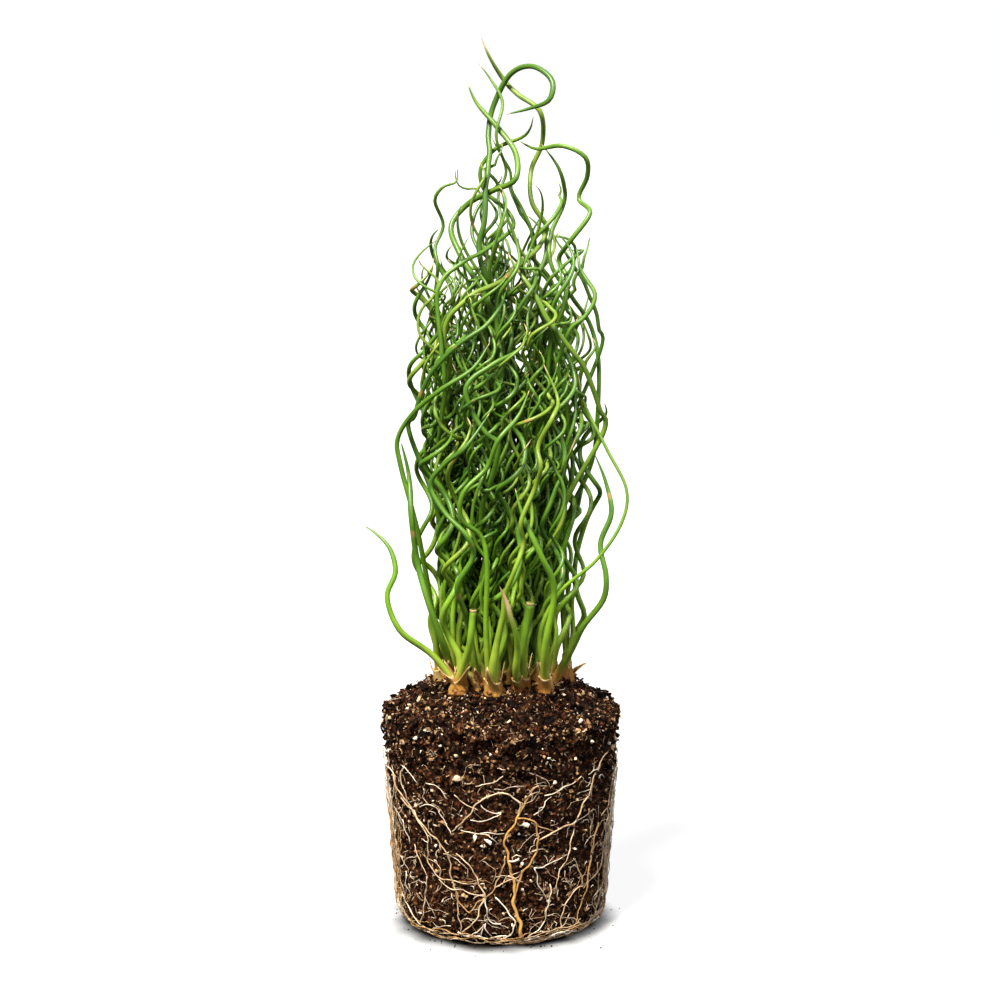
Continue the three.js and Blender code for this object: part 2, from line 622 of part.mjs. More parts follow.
/** Where two segments come nearest: how far along each one, from 0 to 1, and the line between. */
function nearest(p, q, u, v) {
  const [along, across, from] = [minus(q, p), minus(v, u), minus(p, u)];
  const [a, b, c] = [dot(along, along), dot(along, across), dot(along, from)];
  const [e, f] = [dot(across, across), dot(across, from)];
  let s = clamp((b * f - c * e) / Math.max(a * e - b * b, 1e-9));
  let t = (b * s + f) / e;
  if (t < 0) s = clamp(-c / a);
  if (t > 1) s = clamp((b - c) / a);
  t = clamp(t);
  return { s, t, gap: [0, 1, 2].map((k) => from[k] + s * along[k] - t * across[k]) };
}

/** A point's freedom to move: none at the soil, full a little above it. */
const freedom = (z) => clamp((z - CROWN_HEIGHT - 4) / 10);

/** The pairs of facets near enough to touch. Low down, those of one tuft may grow together. */
function closePairs(facets) {
  const middles = facets.map(({ stem, j }) => stem.points[j].map((v, k) => (v + stem.points[j + 1][k]) / 2));
  const pairs = [];
  for (let m = 0; m < facets.length; m++) {
    for (let n = m + 1; n < facets.length; n++) {
      if (facets[m].stem === facets[n].stem) continue;
      const apart = minus(middles[m], middles[n]);
      if (dot(apart, apart) > (1.9 * STEM_STEP) ** 2) continue;
      const low = Math.min(middles[m][2], middles[n][2]) < CROWN_HEIGHT + FUSED_HEIGHT;
      if (low && facets[m].stem.tuft === facets[n].stem.tuft) continue;
      pairs.push([facets[m], facets[n]]);
    }
  }
  return pairs;
}

/** Adds to moves the way that two facets give each other where they are too close. */
function pushPair(one, two, moves) {
  const [p, q] = [one.stem.points[one.j], one.stem.points[one.j + 1]];
  const [u, v] = [two.stem.points[two.j], two.stem.points[two.j + 1]];
  const { s, t, gap } = nearest(p, q, u, v);
  const distance = Math.max(Math.hypot(...gap), 1e-6);
  const thickest = ({ stem, j }) => Math.max(stem.radii[j], stem.radii[j + 1]);
  const need = FACET_SWELL * (thickest(one) + thickest(two)) + STEM_GAP;
  if (distance >= need) return;
  const push = (0.5 * (need - distance)) / distance;
  for (const [facet, share, sign] of [[one, s, 1], [two, t, -1]]) {
    const own = moves.get(facet.stem);
    for (let k = 0; k < 3; k++) {
      own[facet.j][k] += sign * push * (1 - share) * gap[k];
      own[facet.j + 1][k] += sign * push * share * gap[k];
    }
  }
}

/** Moves stems that touch until each has air round it. A point shares its move with its neighbours. */
function pushApart(stems) {
  const facets = stems.flatMap((stem) => stem.points.slice(1).map((_, j) => ({ stem, j })));
  let pairs = [];
  for (let round = 0; round < APART_ROUNDS; round++) {
    if (round % PAIRS_LAST === 0) pairs = closePairs(facets);
    const moves = new Map(stems.map((stem) => [stem, stem.points.map(() => [0, 0, 0])]));
    for (const [one, two] of pairs) pushPair(one, two, moves);
    for (const [stem, own] of moves) {
      stem.points = stem.points.map((point, j) => {
        const before = own[Math.max(j - 1, 0)];
        const after = own[Math.min(j + 1, own.length - 1)];
        const free = freedom(point[2]);
        return point.map((v, k) => v + free * (0.7 * own[j][k] + 0.25 * (before[k] + after[k])));
      });
    }
  }
}

/** A tuft as one solid: its knob of rhizome, with the stems and sheaths sunk in it. */
function tuftSolid(tuft, stems) {
  const profile = [
    [0, -KNOB_DEPTH], [KNOB_RADIUS * 0.8, -KNOB_DEPTH], [KNOB_RADIUS, -KNOB_DEPTH / 2], [KNOB_RADIUS, 0],
    [KNOB_RADIUS * 0.75, KNOB_STANDS_OUT], [0, KNOB_STANDS_OUT],
  ].map(([radius, z]) => new THREE.Vector2(radius, z));
  const knob = new THREE.LatheGeometry(profile, 6);
  knob.rotateX(Math.PI / 2);
  const solids = stems.map((stem) => bentTube(
    stem.points.map((point) => new THREE.Vector3(...point)),
    stem.radii.map((radius) => radius * FACET_SWELL),
    STEM_SIDES,
  ));
  return fuse([toSolid(knob.translate(tuft.x, tuft.y, CROWN_HEIGHT)), ...solids]);
}

// ---- The plant ----

/** A named mesh of one solid, in a finish of its own. */
function namedMesh(name, solid, color, roughness) {
  const material = new THREE.MeshStandardMaterial({ name: `${name}_finish`, color, roughness, metalness: 0 });
  const mesh = new THREE.Mesh(toGeometry(solid), material);
  mesh.name = name;
  return mesh;
}

const draw = drawSource(SEED);
const tufts = placeTufts();
shareLeaders(tufts);
const stems = tufts.flatMap((tuft, index) => growTuft(tuft, index, draw));
pushApart(stems);

const rootBall = new THREE.Group();
rootBall.add(namedMesh('soil', makeSoil(tufts), SOIL_COLOR, 0.95));
rootBall.add(namedMesh('root_net', makeRoots(draw), ROOT_COLOR, 0.7));

const clump = new THREE.Group();
tufts.forEach((tuft, index) => {
  const name = `tuft_${String(index + 1).padStart(2, '0')}`;
  const own = stems.filter((stem) => stem.tuft === index);
  clump.add(namedMesh(name, tuftSolid(tuft, own), index % 2 ? DEEP_GREEN : FRESH_GREEN, 0.45));
});

const plant = new THREE.Group();
plant.add(rootBall, clump);

export default plant;
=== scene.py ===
"""Looks of a corkscrew rush plug plant: curling stems and papery sheaths on a bare root ball, on a pale
floor.

Shapes are worked out in millimetres, +Z up and the front towards -Y, from the middle of the root ball's flat
underside, and become metres in the meshes. Stems and thick roots follow the part's own growing rule, so each
one stays where the frame has it. Here they get a round section, and everything finer is added to them.
"""
import math
from types import SimpleNamespace

import bpy
import numpy as np
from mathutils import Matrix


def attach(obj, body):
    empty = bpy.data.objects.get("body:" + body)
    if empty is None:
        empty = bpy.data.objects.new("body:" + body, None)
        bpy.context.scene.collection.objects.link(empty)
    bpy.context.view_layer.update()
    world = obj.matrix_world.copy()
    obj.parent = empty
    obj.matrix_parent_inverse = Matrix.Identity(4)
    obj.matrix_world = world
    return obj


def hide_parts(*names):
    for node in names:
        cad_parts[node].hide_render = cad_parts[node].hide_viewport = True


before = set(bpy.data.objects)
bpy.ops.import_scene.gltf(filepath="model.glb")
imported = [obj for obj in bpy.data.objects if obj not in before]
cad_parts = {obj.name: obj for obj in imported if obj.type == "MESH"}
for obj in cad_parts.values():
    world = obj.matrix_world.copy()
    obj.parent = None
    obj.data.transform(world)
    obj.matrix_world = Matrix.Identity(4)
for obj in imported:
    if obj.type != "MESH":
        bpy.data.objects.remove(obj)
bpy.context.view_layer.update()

MM = 0.001
TURN = 2 * math.pi

# ---- Root ball, as in the frame but for a crisper rim and a slightly narrower mound ----
BALL_HEIGHT = 83
BALL_TOP_RADIUS = 44
BALL_FOOT_RADIUS = 37
FOOT_FLAT_RADIUS = 31
FOOT_ROUNDING = 8
RIM_ROUNDING = 4
RIM_INSET = 0.6                   # how far in the rounded rim goes, as a share of its height
EDGE_CURVE = 2.2                  # power of the two rounded edges
MOUND_RISE = 10
MOUND_RADIUS = 38
MEAN_RADIUS = 41                  # of the wall, for lengths along it

# ---- Tufts and stems, as in the frame ----
TUFTS = 22
STEMS_PER_TUFT = 4
INNER_TUFTS = 8
CROWN_RADIUS = 24
CROWN_GAP = 1.3
KNOB_RADIUS = 3.6
STEM_RING = 1.65
CROWN_HEIGHT = 92
STEM_STARTS_BELOW = 6
STEM_STEP = 9.2
STRAIGHT_STEP = 14
STRAIGHT_HEIGHT = 55
FACET_SWELL = 1.18
STEM_GAP = 0.3
BASE_FLARE = 0.4
FLARE_HEIGHT = 20
STEM_TAPER = 0.1
TIP_RADIUS = 0.36
TIP_LENGTH = 20
TIP_CURVE = 0.6                   # power by which a stem narrows to its point
FUSED_HEIGHT = 14
SPREAD = 1.42
SPREAD_HEIGHT = 32
CURL_HEIGHT = 26
COIL_RADIUS = (2.2, 1.9)          # of a corkscrew: its least, and how much it grows with the stem's radius
COIL_PITCH = (18, 15)             # height of one turn, likewise
USUAL_HAND = 0.8                  # share of the stems that coil the usual way
REACH_MIDDLE = 205
REACH_EDGE = 134
CLUMP_RADIUS = 37
WAY_PARTS = 140                   # of an ordinary stem's way
THICKNESSES = (                   # share of the stems so far, and the range of their radii
    (0.35, 0.98, 1.15), (0.75, 0.8, 0.98), (1, 0.62, 0.8))
SHEATH_LENGTH = 10
SHEATH_RADIUS = 0.9
SHEATH_RING = 2.5
SHEATH_LEAN = 1.6
RISE_STEP = 28
RISE_SWING = 4.5
RISE_TURN = 2.2                   # radians from one wave of a leading stem to the next
LEADER_PARTS = 10                 # between two points that it passes
LEADERS_PER_TUFT = 2
APART_ROUNDS = 90
PAIRS_LAST = 6
PAIR_REACH = 1.9 * STEM_STEP      # pieces further apart than this aren't compared
OWN_PUSH = 0.7                    # share of a push that a point takes up itself
PASSED_ON = 0.25                  # and that it hands to each neighbour
HELD_HEIGHT = 4                   # stems don't move below this, above the crown
FREED_OVER = 10                   # and move freely this much higher
SEED = 20

# ---- Numbers behind the draws and the noise ----
STATES = 2 ** 32
STATE_FACTOR = 1664525
STATE_STEP = 1013904223
CELL_FACTORS = (73856093, 19349663, 83492791)
SEED_FACTOR = 2654435
MIXING_FACTOR = 1274126177
ROWS_AT_ONCE = 512                # of the table of distances between pieces

# ---- What is finer here than in the frame ----
PARTS_PER_FACET = 5               # short pieces in each long facet of a stem
STEM_SIDES = 9
THIN_SIDES = 6
SMOOTH_ROUNDS = 24                # of keeping the round stems apart
ROUND_GAP = 0.12                  # air between two round stems
ROUND_REACH = 8                   # pieces further apart than this aren't compared
SWOLLEN_FOOT = 0.3                # stems are this much thicker still at the very foot
SWOLLEN_HEIGHT = 9
EXTRA = 100                       # stems that aren't in the frame have numbers from here on, as their tufts
THIN_STEMS = 125                  # slender ones that lean across the clump
YOUNG_SHOOTS = 5                  # short ones at the foot of the clump
THIN_FOOT, YOUNG_FOOT = 15, 22    # radius of the disc that they grow on
THIN_HEAD = 32                    # and of the one that the slender ones' heads fill
YOUNG_LEAN = 1.1                  # a young one's head is this much further out than its foot
REACH_FALL = 0.055                # how much lower a slender stem ends for each square millimetre outwards
THIN_GIVE = 6                     # they yield this much more than the frame's stems do
SHADE_RADIUS = 20                 # stems nearer to the middle than this get painted shade
SHADE_TOP, SHADE_FADE = 300, 90   # height where the painted shade ends, and over which it fades
SLEEVE_THICKNESS = 0.14           # of a sheath's paper
STRIP_THICKNESS = 0.13
SLEEVED = 0.85                    # share of the frame's stems with a sheath round the foot
OUTER_FEET = 14                   # feet further out than this may have a loose strip too
WITH_A_STRIP = 0.35               # and this share of them has
SLIMMER = 0.26                    # stems with looks of their own lose this share of their radius,
SLIMMER_FROM, SLIMMER_OVER = 12, 35    # from this height on, over this much more
NO_TIP = 99.0                     # distance from the tip, in dry lengths, that a cut stem has all along
CUT_SIDES = 14
CUT_END = np.array([              # of a cut stem: how far beyond it, and radius as a share of its own
    (-0.7, 1.01), (-0.4, 1.04), (0.0, 1.05), (0.25, 0.98), (0.3, 0.74), (-0.1, 0.6)])
KNOB_RINGS, KNOB_SIDES = 12, 22
KNOB_HALF_HEIGHT = 2.6

# ---- Leading stems: foot on the crown, radius, whether it was cut off short, and points that it passes ----
LEADERS = [
    ((2, -14), 1.1, False, [
        (-1.5, -6, 233), (-4.5, -11, 240), (-7, -13, 247), (-7.5, -12, 254), (-6, -11, 260),
        (-5.5, -9, 267), (-5.5, -7, 273), (-4.5, -5, 279), (-4, -1, 286), (-4.5, 2, 292), (-3, 4, 302),
        (3, 2, 313), (11, -4, 316), (18, -10, 311), (17, -12, 304), (10, -8, 301), (2, -6, 299)]),
    ((-14, 2), 0.98, False, [
        (-18.5, -16, 211), (-20.5, -18, 217), (-20.5, -19, 223), (-18.5, -20, 228), (-14.5, -20, 232),
        (-9.5, -19, 236), (-4.5, -17, 238), (0, -14, 240), (4, -10, 243), (8.5, -6, 247),
        (12.5, -2, 250), (15.5, 2, 254), (16.5, 3, 257), (16, 0, 260), (11, 0, 268), (11, 7, 279),
        (15, 6, 289), (14, -1, 300), (6, 3, 306), (1, 6, 311), (-4, 2, 319), (-7, 1, 326)]),
    ((20, -8), 0.98, False, [
        (18, -6, 216), (22, -9, 231), (24, -6, 240), (21, -2, 247), (25, -8, 254), (32, -7, 264),
        (28, 0, 269), (31, -4, 277), (30, -8, 284), (22, -6, 288), (13, 0, 287), (6, 5, 290)]),
    ((-8, -16), 1.15, False, [
        (-1, -12, 222), (-8, -13, 238), (-15, -8, 250), (-18, -1, 259), (-12, 1, 267), (-3, -6, 272),
        (5, -12, 276), (5, -6, 285), (-2, 1, 294), (-9, 5, 303), (-12, 5, 310)]),
    ((-20, 6), 0.72, False, [
        (-20, 8, 215), (-24, 7, 230), (-23, 3, 244), (-24, 6, 251), (-21, 8, 259), (-24, 4, 268),
        (-21, 2, 273), (-16, 3, 275), (-16, 4, 281)]),
    ((-16, -8), 0.85, False, [
        (-22.5, -20, 233), (-22, -20, 238), (-20, -19, 242), (-16.5, -18, 245), (-12, -16, 248),
        (-7.5, -14, 250), (-3, -11, 253), (1.5, -7, 256), (4.5, -3, 259), (3.5, 1, 263), (-0.5, 3, 267),
        (-4.5, 4, 270), (-7, 4, 274), (-7.5, 4, 279), (-5.5, 4, 283), (-1.5, 3, 287), (3, 2, 289),
        (8, 0, 291), (10.5, -3, 294), (11.5, -6, 298)]),
    ((22, 6), 0.88, False, [
        (36, 2, 205), (33, 5, 222), (26, 0, 233), (18, -3, 245), (18, 3, 256), (23, 5, 268),
        (21, -1, 279), (14, -1, 288)]),
    ((-2, -4), 0.62, False, [
        (-5, 0, 238), (0, -7, 258), (-1, -1, 270), (2, 2, 279), (-1, -2, 291), (1, 2, 303), (-4, 5, 312),
        (-8, 5, 317)]),
    ((-22, -16), 0.98, False, [
        (-23, -20, 105), (-36, -25, 115), (-41, -25, 127), (-38, -23, 136), (-40, -20, 144),
        (-45, -17, 149), (-50, -15, 152)]),
    ((24, -10), 1.05, False, [
        (26, -12, 106), (30, -16, 115), (37, -18, 125), (38, -18, 134), (36, -15, 145), (40, -13, 156),
        (38, -10, 167), (34, -8, 177)]),
    ((14, -18), 0.88, False, [
        (14, -23, 112), (21, -26, 129), (34, -27, 141), (43, -25, 154), (45, -22, 166), (38, -16, 180),
        (30, -10, 196), (28, -8, 206)]),
    ((8, -18), 1.35, True, [(7.5, -25, 106), (10.5, -29, 126)]),
    ((-13, -20), 1.2, True, [(-12, -25, 108), (-10.5, -29, 124)]),
    ((6, -18), 1.05, False, [
        (5.5, -25, 100), (6, -29, 108), (5.5, -33, 115), (3.5, -36, 122), (2, -38, 128),
        (-0.5, -40, 134)]),
    ((-4, -24), 1.2, False, [
        (-3, -27, 100), (-2, -29, 108), (-0.5, -31, 116), (1, -33, 123), (1.5, -35, 130), (5, -39, 140),
        (8, -37, 149), (7, -40, 157), (12, -38, 169), (14, -42, 177), (13, -39, 184), (18, -40, 194),
        (20, -34, 200), (15, -31, 212)]),
    ((-17, -12), 1.12, False, [
        (-20, -23, 108), (-26, -28, 126), (-30, -25, 140), (-32, -28, 157), (-33, -22, 171),
        (-36, -21, 184)]),
    ((-10, -14), 0.98, False, [
        (-12, -29, 120), (-15.5, -36, 133), (-10, -37, 144), (-12, -40, 152), (-20, -36, 160),
        (-25, -33, 169), (-20, -36, 177), (-12, -39, 184), (-4, -34, 195)]),
    ((-3, -14), 0.92, False, [
        (-5, -34, 140), (-7, -35, 151), (-14, -39, 158), (-13, -41, 168), (-5, -38, 176), (-1, -40, 186),
        (6, -36, 194), (10, -33, 203)]),
    ((13, -20), 1.15, False, [
        (16, -28, 110), (19, -33, 131), (14, -38, 145), (8, -36, 158), (5, -33, 168)]),
    ((-22, -4), 0.95, False, [
        (-30, -19, 150), (-36, -19, 174), (-37, -19, 184), (-31, -23, 194), (-22, -27, 202),
        (-10, -27, 210), (-4, -24, 219)]),
    ((10, 4), 0.62, False, [
        (11.5, 9, 256), (9.5, 9, 262), (7, 9, 267), (4, 8, 272), (3.5, 8, 278), (1.5, 8, 282),
        (-1, 9, 286), (-3.5, 9, 291)]),
    ((-10, 8), 0.5, False, [
        (-5, 8, 249), (-6, 9, 256), (-7.5, 10, 263), (-7, 11, 267), (-8.5, 11, 272), (-12, 11, 272),
        (-15, 10, 273), (-16.5, 9, 276), (-16.5, 9, 280)]),
    ((18, -14), 1, False, [
        (37, -10, 185), (35.5, -13, 194), (32.5, -16, 203), (29.5, -18, 210), (25, -20, 216),
        (20.5, -21, 222), (16.5, -21, 227), (13.5, -20, 233), (10.5, -18, 238), (7.5, -16, 242),
        (4.5, -12, 246), (2.5, -8, 250)]),
    ((20, 2), 0.9, False, [
        (20, -12, 207), (21, -14, 213), (23, -15, 219), (25.5, -16, 224), (29.5, -16, 227),
        (33, -15, 232), (33.5, -14, 236), (31, -12, 240), (28.5, -10, 244), (27.5, -8, 249),
        (26, -6, 254)]),
    ((-4, -12), 1, False, [
        (-1, -30, 181), (-5, -31, 187), (-8.5, -31, 192), (-11.5, -31, 198), (-12.5, -31, 203),
        (-10, -30, 207), (-5.5, -29, 210), (-0.5, -28, 213), (4, -26, 215), (8, -24, 218),
        (10.5, -22, 223)]),
    ((-24, 4), 0.62, False, [
        (-17, -4, 206), (-21, -7, 212), (-25.5, -8, 216), (-29, -8, 220), (-30, -7, 225),
        (-28.5, -6, 230), (-25.5, -5, 233), (-23.5, -4, 237), (-24, -3, 240), (-27.5, -2, 243),
        (-30, -2, 246), (-30.5, -2, 249)]),
    ((-22, -10), 0.95, False, [
        (-33, -16, 186), (-31, -19, 192), (-29, -21, 199), (-26.5, -23, 205), (-23.5, -25, 210),
        (-19, -26, 215), (-14.5, -27, 219), (-10, -27, 222), (-5.5, -26, 225), (-2, -24, 229),
        (0.5, -21, 233), (2, -17, 238)]),
    ((26, 6), 0.8, False, [
        (36.5, 0, 215), (35.5, -2, 222), (34.5, -3, 228), (32, -4, 234), (29.5, -4, 240), (26, -4, 245),
        (23, -3, 250), (20.5, -2, 253), (19, -2, 257)]),
]

# ---- Leading stems with looks of their own, by foot: tone from green (0) to yellow (1), millimetres of dry
# tip, and the length of its point. They are slimmer above the foot as well ----
LEADER_LOOKS = {(-4, -24): (0.93, 4, 20), (6, -18): (0.8, 17, 8), (14, -18): (0.75, 5, 16)}

# ---- Roots of the front: radius, tone from cream (0) to amber (1), and [degrees towards +X, height] ----
FRONT_ROOTS = [
    (1.15, 1.0, [(12, 3), (9, 12), (7, 18), (6, 28), (3, 36), (2, 42), (6, 48), (9, 52)]),
    (0.5, 0.85, [(9, 52), (12, 57), (18, 62)]),
    (0.65, 0.72, [(7, 21), (9, 26), (14, 32), (18, 38), (19, 42), (17, 47), (12, 50), (8, 50)]),
    (0.5, 0.35, [(8, 50), (9, 56), (4, 59), (-4, 59), (-12, 55), (-20, 47), (-25, 44)]),
    (0.5, 0.45, [(19, 41), (31, 45), (40, 46), (48, 57), (57, 67), (61, 69)]),
    (0.38, 0.3, [(40, 46), (37, 36), (32, 28), (30, 20)]),
    (0.3, 0.5, [(15, 48), (20, 46), (27, 44)]),
    (0.32, 0.1, [(16, 51), (20, 53), (21, 55), (25, 57)]),
    (0.36, 0.15, [(21, 58), (27, 59), (37, 61), (42, 63)]),
    (0.3, 0.0, [(17, 31), (21, 31), (26, 32), (36, 34)]),
    (0.5, 0.0, [(4, 34), (7, 34), (9, 35)]),
    (0.4, 0.0, [(17, 31), (18, 28), (21, 23), (25, 18)]),
    (0.42, 0.1, [(26, 24), (26, 17), (24, 10), (20, 7), (15, 4)]),
    (0.28, 0.3, [(35, 28), (36, 24), (39, 22)]),
    (0.34, 0.3, [(40, 32), (43, 30), (46, 25), (49, 20)]),
    (0.42, 0.4, [(50, 20), (43, 20), (38, 17), (35, 10), (34, 4)]),
    (0.5, 0.6, [(58, 43), (55, 36), (54, 29), (51, 19), (47, 10), (43, 3)]),
    (0.36, 0.5, [(61, 27), (65, 20), (69, 12)]),
    (0.42, 0.4, [(73, 44), (70, 34), (64, 25), (55, 21), (50, 19)]),
    (0.4, 0.5, [(78, 62), (72, 53), (66, 47), (61, 45)]),
    (0.45, 0.4, [(80, 60), (77, 49), (74, 38), (74, 26), (70, 14), (62, 3)]),
    (0.3, 0.3, [(48, 50), (51, 44), (53, 38)]),
    (0.3, 0.4, [(26, 7), (31, 4), (36, 7), (40, 11)]),
    (0.42, 0.0, [(-3, 20), (2, 16), (7, 12), (6, 7), (2, 4), (-4, 2)]),
    (0.34, 0.4, [(-3, 24), (2, 26), (9, 28), (12, 30)]),
    (0.38, 0.5, [(2, 36), (0, 30), (-2, 25), (-8, 20)]),
    (0.46, 0.45, [(-66, 60), (-61, 55), (-50, 49), (-38, 42), (-29, 36), (-25, 24), (-23, 14), (-22, 5)]),
    (0.36, 0.2, [(-78, 60), (-70, 62), (-66, 57), (-71, 47), (-74, 34)]),
    (0.34, 0.2, [(-54, 65), (-57, 59), (-54, 53), (-52, 47)]),
    (0.4, 0.35, [(-60, 52), (-48, 48), (-41, 42), (-40, 31), (-34, 26), (-25, 25), (-13, 25)]),
    (0.3, 0.1, [(-59, 44), (-57, 41), (-55, 35)]),
    (0.3, 0.1, [(-44, 51), (-36, 53), (-30, 49), (-25, 43)]),
    (0.4, 0.3, [(-8, 20), (-13, 28), (-18, 33), (-23, 36)]),
    (0.34, 0.3, [(-8, 20), (-20, 22), (-26, 22), (-34, 25)]),
    (0.42, 0.6, [(-8, 20), (-13, 17), (-17, 14), (-22, 17), (-25, 22)]),
    (0.42, 0.1, [(-8, 20), (-8, 15), (-6, 11), (0, 10)]),
    (0.48, 0.3, [(-8, 20), (-15, 10), (-22, 5), (-30, 4), (-38, 3)]),
    (0.34, 0.2, [(-42, 25), (-45, 15), (-50, 5), (-56, 2)]),
    (0.36, 0.2, [(-62, 11), (-56, 8), (-50, 4), (-44, 2)]),
    (0.3, 0.3, [(-51, 36), (-47, 31), (-41, 25)]),
    (0.28, 0.1, [(-67, 24), (-58, 29), (-48, 32)]),
    (0.28, 0.0, [(-60, 24), (-61, 19), (-66, 13), (-76, 12)]),
    (0.34, 0.0, [(-11, 5), (-9, 10), (-7, 7), (-4, 3)]),
    (0.32, 0.0, [(-18, 4), (-12, 7), (-8, 10)]),
    (0.3, 0.2, [(-20, 45), (-13, 44), (-7, 44), (-2, 41)]),
    (0.34, 0.1, [(-15, 49), (-9, 49), (-4, 50), (0, 52)]),
    (0.28, 0.1, [(-10, 55), (-7, 53), (0, 52)]),
    (0.28, 0.3, [(-23, 58), (-17, 55), (-11, 53)]),
    (0.3, 0.2, [(-12, 62), (-6, 63), (1, 66)]),
    (0.34, 0.2, [(-80, 20), (-73, 8), (-64, 3)]),
    (0.28, 0.1, [(-57, 65), (-50, 64), (-44, 60)]),
    (0.28, 0.1, [(-38, 61), (-32, 60), (-27, 56)]),
]
PERLITE_SPOTS = [                 # larger grains of perlite in front: degrees towards +X, height, size
    (12, 47.5, 1.4), (-13, 42.5, 1.6), (-6, 41.2, 1.5), (-9, 39.5, 1.0), (-35, 37.4, 0.9), (11, 32.7, 1.1),
    (8, 34, 0.8), (41, 35.5, 0.8), (-22, 63.5, 0.65), (23, 71.7, 0.65), (48, 75, 0.8), (-44, 77, 0.7)]
FRONT_ARC = (-76, 76)             # degrees of the wall that the roots above cover
ROUND_ROOTS = 85                  # roots up the wall on the other sides
EDGE_ROOTS = 28                   # upright ones on the two flanks
ROOTLETS = 460                    # short side roots
FOOT_ARCS = 60                    # roots wound round the foot
ROOT_HAIRS = 450                  # fuzz of root ends
FRONT_ROOT_SHARE = 0.64           # of the radii above, that the roots are drawn with
ROOT_STEP = 1.5                   # between two points of a root
THINNEST_ROOT = 0.07

# ---- Soil ----
SHELL_COLUMNS = 340
WALL_CRUMBS = 9000
TOP_CRUMBS = 5000
BARK_SLIVERS = 3000
PALE_FLECKS = 1700
PERLITE_GRAINS = 130
SOIL_FIBRES = 1500
FALLEN_CRUMBS = 130
CLOSE_ROWS_FROM = 76              # the rows of the soil's grid are closer from this height up
LOOSE_FROM, LOOSE_OVER = 52, 24   # soil is looser from this height on, over this much more
LEAST_LOOSE, MOST_LOOSE = 0.35, 0.85   # share of the coarse relief that shows, below and above
RELIEF_SINK = 1.4                 # how far the coarse relief is set back from the plain outline
RELIEF_DEPTH = 1.8                # from the outline down to where the painted shade in the gaps is darkest
STRAY = 0.35                      # how far grains stray from the grid's points
LUMP_CORNERS = 12                 # of a grain
LUMP_UNREST = 0.4                 # how far its corners are pulled in or out, as a share of its size

# ---- Floor, light and camera ----
FLOOR_REACH = 30000
SUNS = (                          # degrees from the front towards +X, degrees up, power, degrees wide, colour
    ("key", -30, 55, 10.0, 16, "#fffaf0"), ("fill", 60, 35, 1.5, 40, "#f4f8ff"),
    ("back", 170, 50, 1.3, 40, "#ffffff"))
CAMERA_DISTANCE = 930
CAMERA_HEIGHT = 300
CAMERA_DIP = 8.63                 # degrees
SENSOR_WIDTH = 36
LENS = 92.16
LENS_SHIFT = -0.001               # share of the picture's width


# ---- Draws and noise ----

def draw_source(seed):
    """A repeatable source of draws between low and high: each state is a fixed multiple of the last, plus a
    step."""
    state = seed

    def draw(low, high):
        nonlocal state
        state = (state * STATE_FACTOR + STATE_STEP) % STATES
        return low + (high - low) * (state / STATES)

    return draw


def scrambled(cells, seed):
    """A number from 0 to 1 for each whole-numbered cell: its three numbers, each times a large one, mixed."""
    mixed = (cells * CELL_FACTORS).sum(axis=-1) + seed * SEED_FACTOR
    mixed = ((mixed ^ (mixed >> 13)) & 0xFFFFFFFF) * MIXING_FACTOR
    return ((mixed ^ (mixed >> 15)) & 0xFFFFFF) / 0x1000000


def soft_noise(points, cell, seed):
    """Smooth noise from 0 to 1: a number at each corner of a cubic lattice, one cell apart, eased in
    between."""
    corner = np.floor(points / cell).astype(np.int64)
    share = points / cell - corner
    eased = share * share * (3 - 2 * share)
    total = np.zeros(len(points))
    for step in np.ndindex(2, 2, 2):
        weight = np.prod(np.where(step, eased, 1 - eased), axis=1)
        total += weight * scrambled(corner + step, seed)
    return total


def crumb_noise(points, cell, seed):
    """Rounded crumbs from 0 to 1: one point is thrown into each cell, and the height falls with the distance
    to the nearest of them."""
    corner = np.floor(points / cell).astype(np.int64)
    nearest = np.full(len(points), 9.0)
    for step in np.ndindex(3, 3, 3):
        neighbour = corner + step - 1
        thrown = np.stack([scrambled(neighbour, seed + axis) for axis in range(3)], axis=1)
        nearest = np.minimum(nearest, np.linalg.norm(neighbour + thrown - points / cell, axis=1))
    return np.clip(1 - nearest, 0, 1)


# ---- Lines ----

def unit(vectors):
    """The vectors at length 1."""
    return vectors / np.maximum(np.linalg.norm(vectors, axis=-1, keepdims=True), 1e-9)


def away_from(point, distance, bearing):
    """The place this far from a point, at a bearing from +X."""
    return point[0] + distance * math.cos(bearing), point[1] + distance * math.sin(bearing)


def path_length(line):
    """How far along the line each point lies."""
    steps = np.linalg.norm(np.diff(line, axis=0), axis=1)
    return np.concatenate([[0], np.cumsum(steps)])


def smooth_line(points, parts):
    """A smooth line through the points: a uniform Catmull-Rom spline with its end points doubled."""
    points = np.asarray(points, float)
    padded = np.concatenate([points[:1], points, points[-1:]])
    a, b, c, d = (padded[k:len(padded) - 3 + k, None, :] for k in range(4))
    t = (np.arange(parts) / parts)[None, :, None]
    spans = 0.5 * (2 * b + (c - a) * t + (2 * a - 5 * b + 4 * c - d) * t ** 2
                   + (3 * b - a - 3 * c + d) * t ** 3)
    return np.concatenate([spans.reshape(-1, points.shape[1]), points[-1:]])


def spaced(line, measure, count):
    """The line at equal steps of a measure along it."""
    wanted = measure[-1] * np.arange(count + 1) / count
    return np.stack([np.interp(wanted, measure, column) for column in line.T], axis=1)


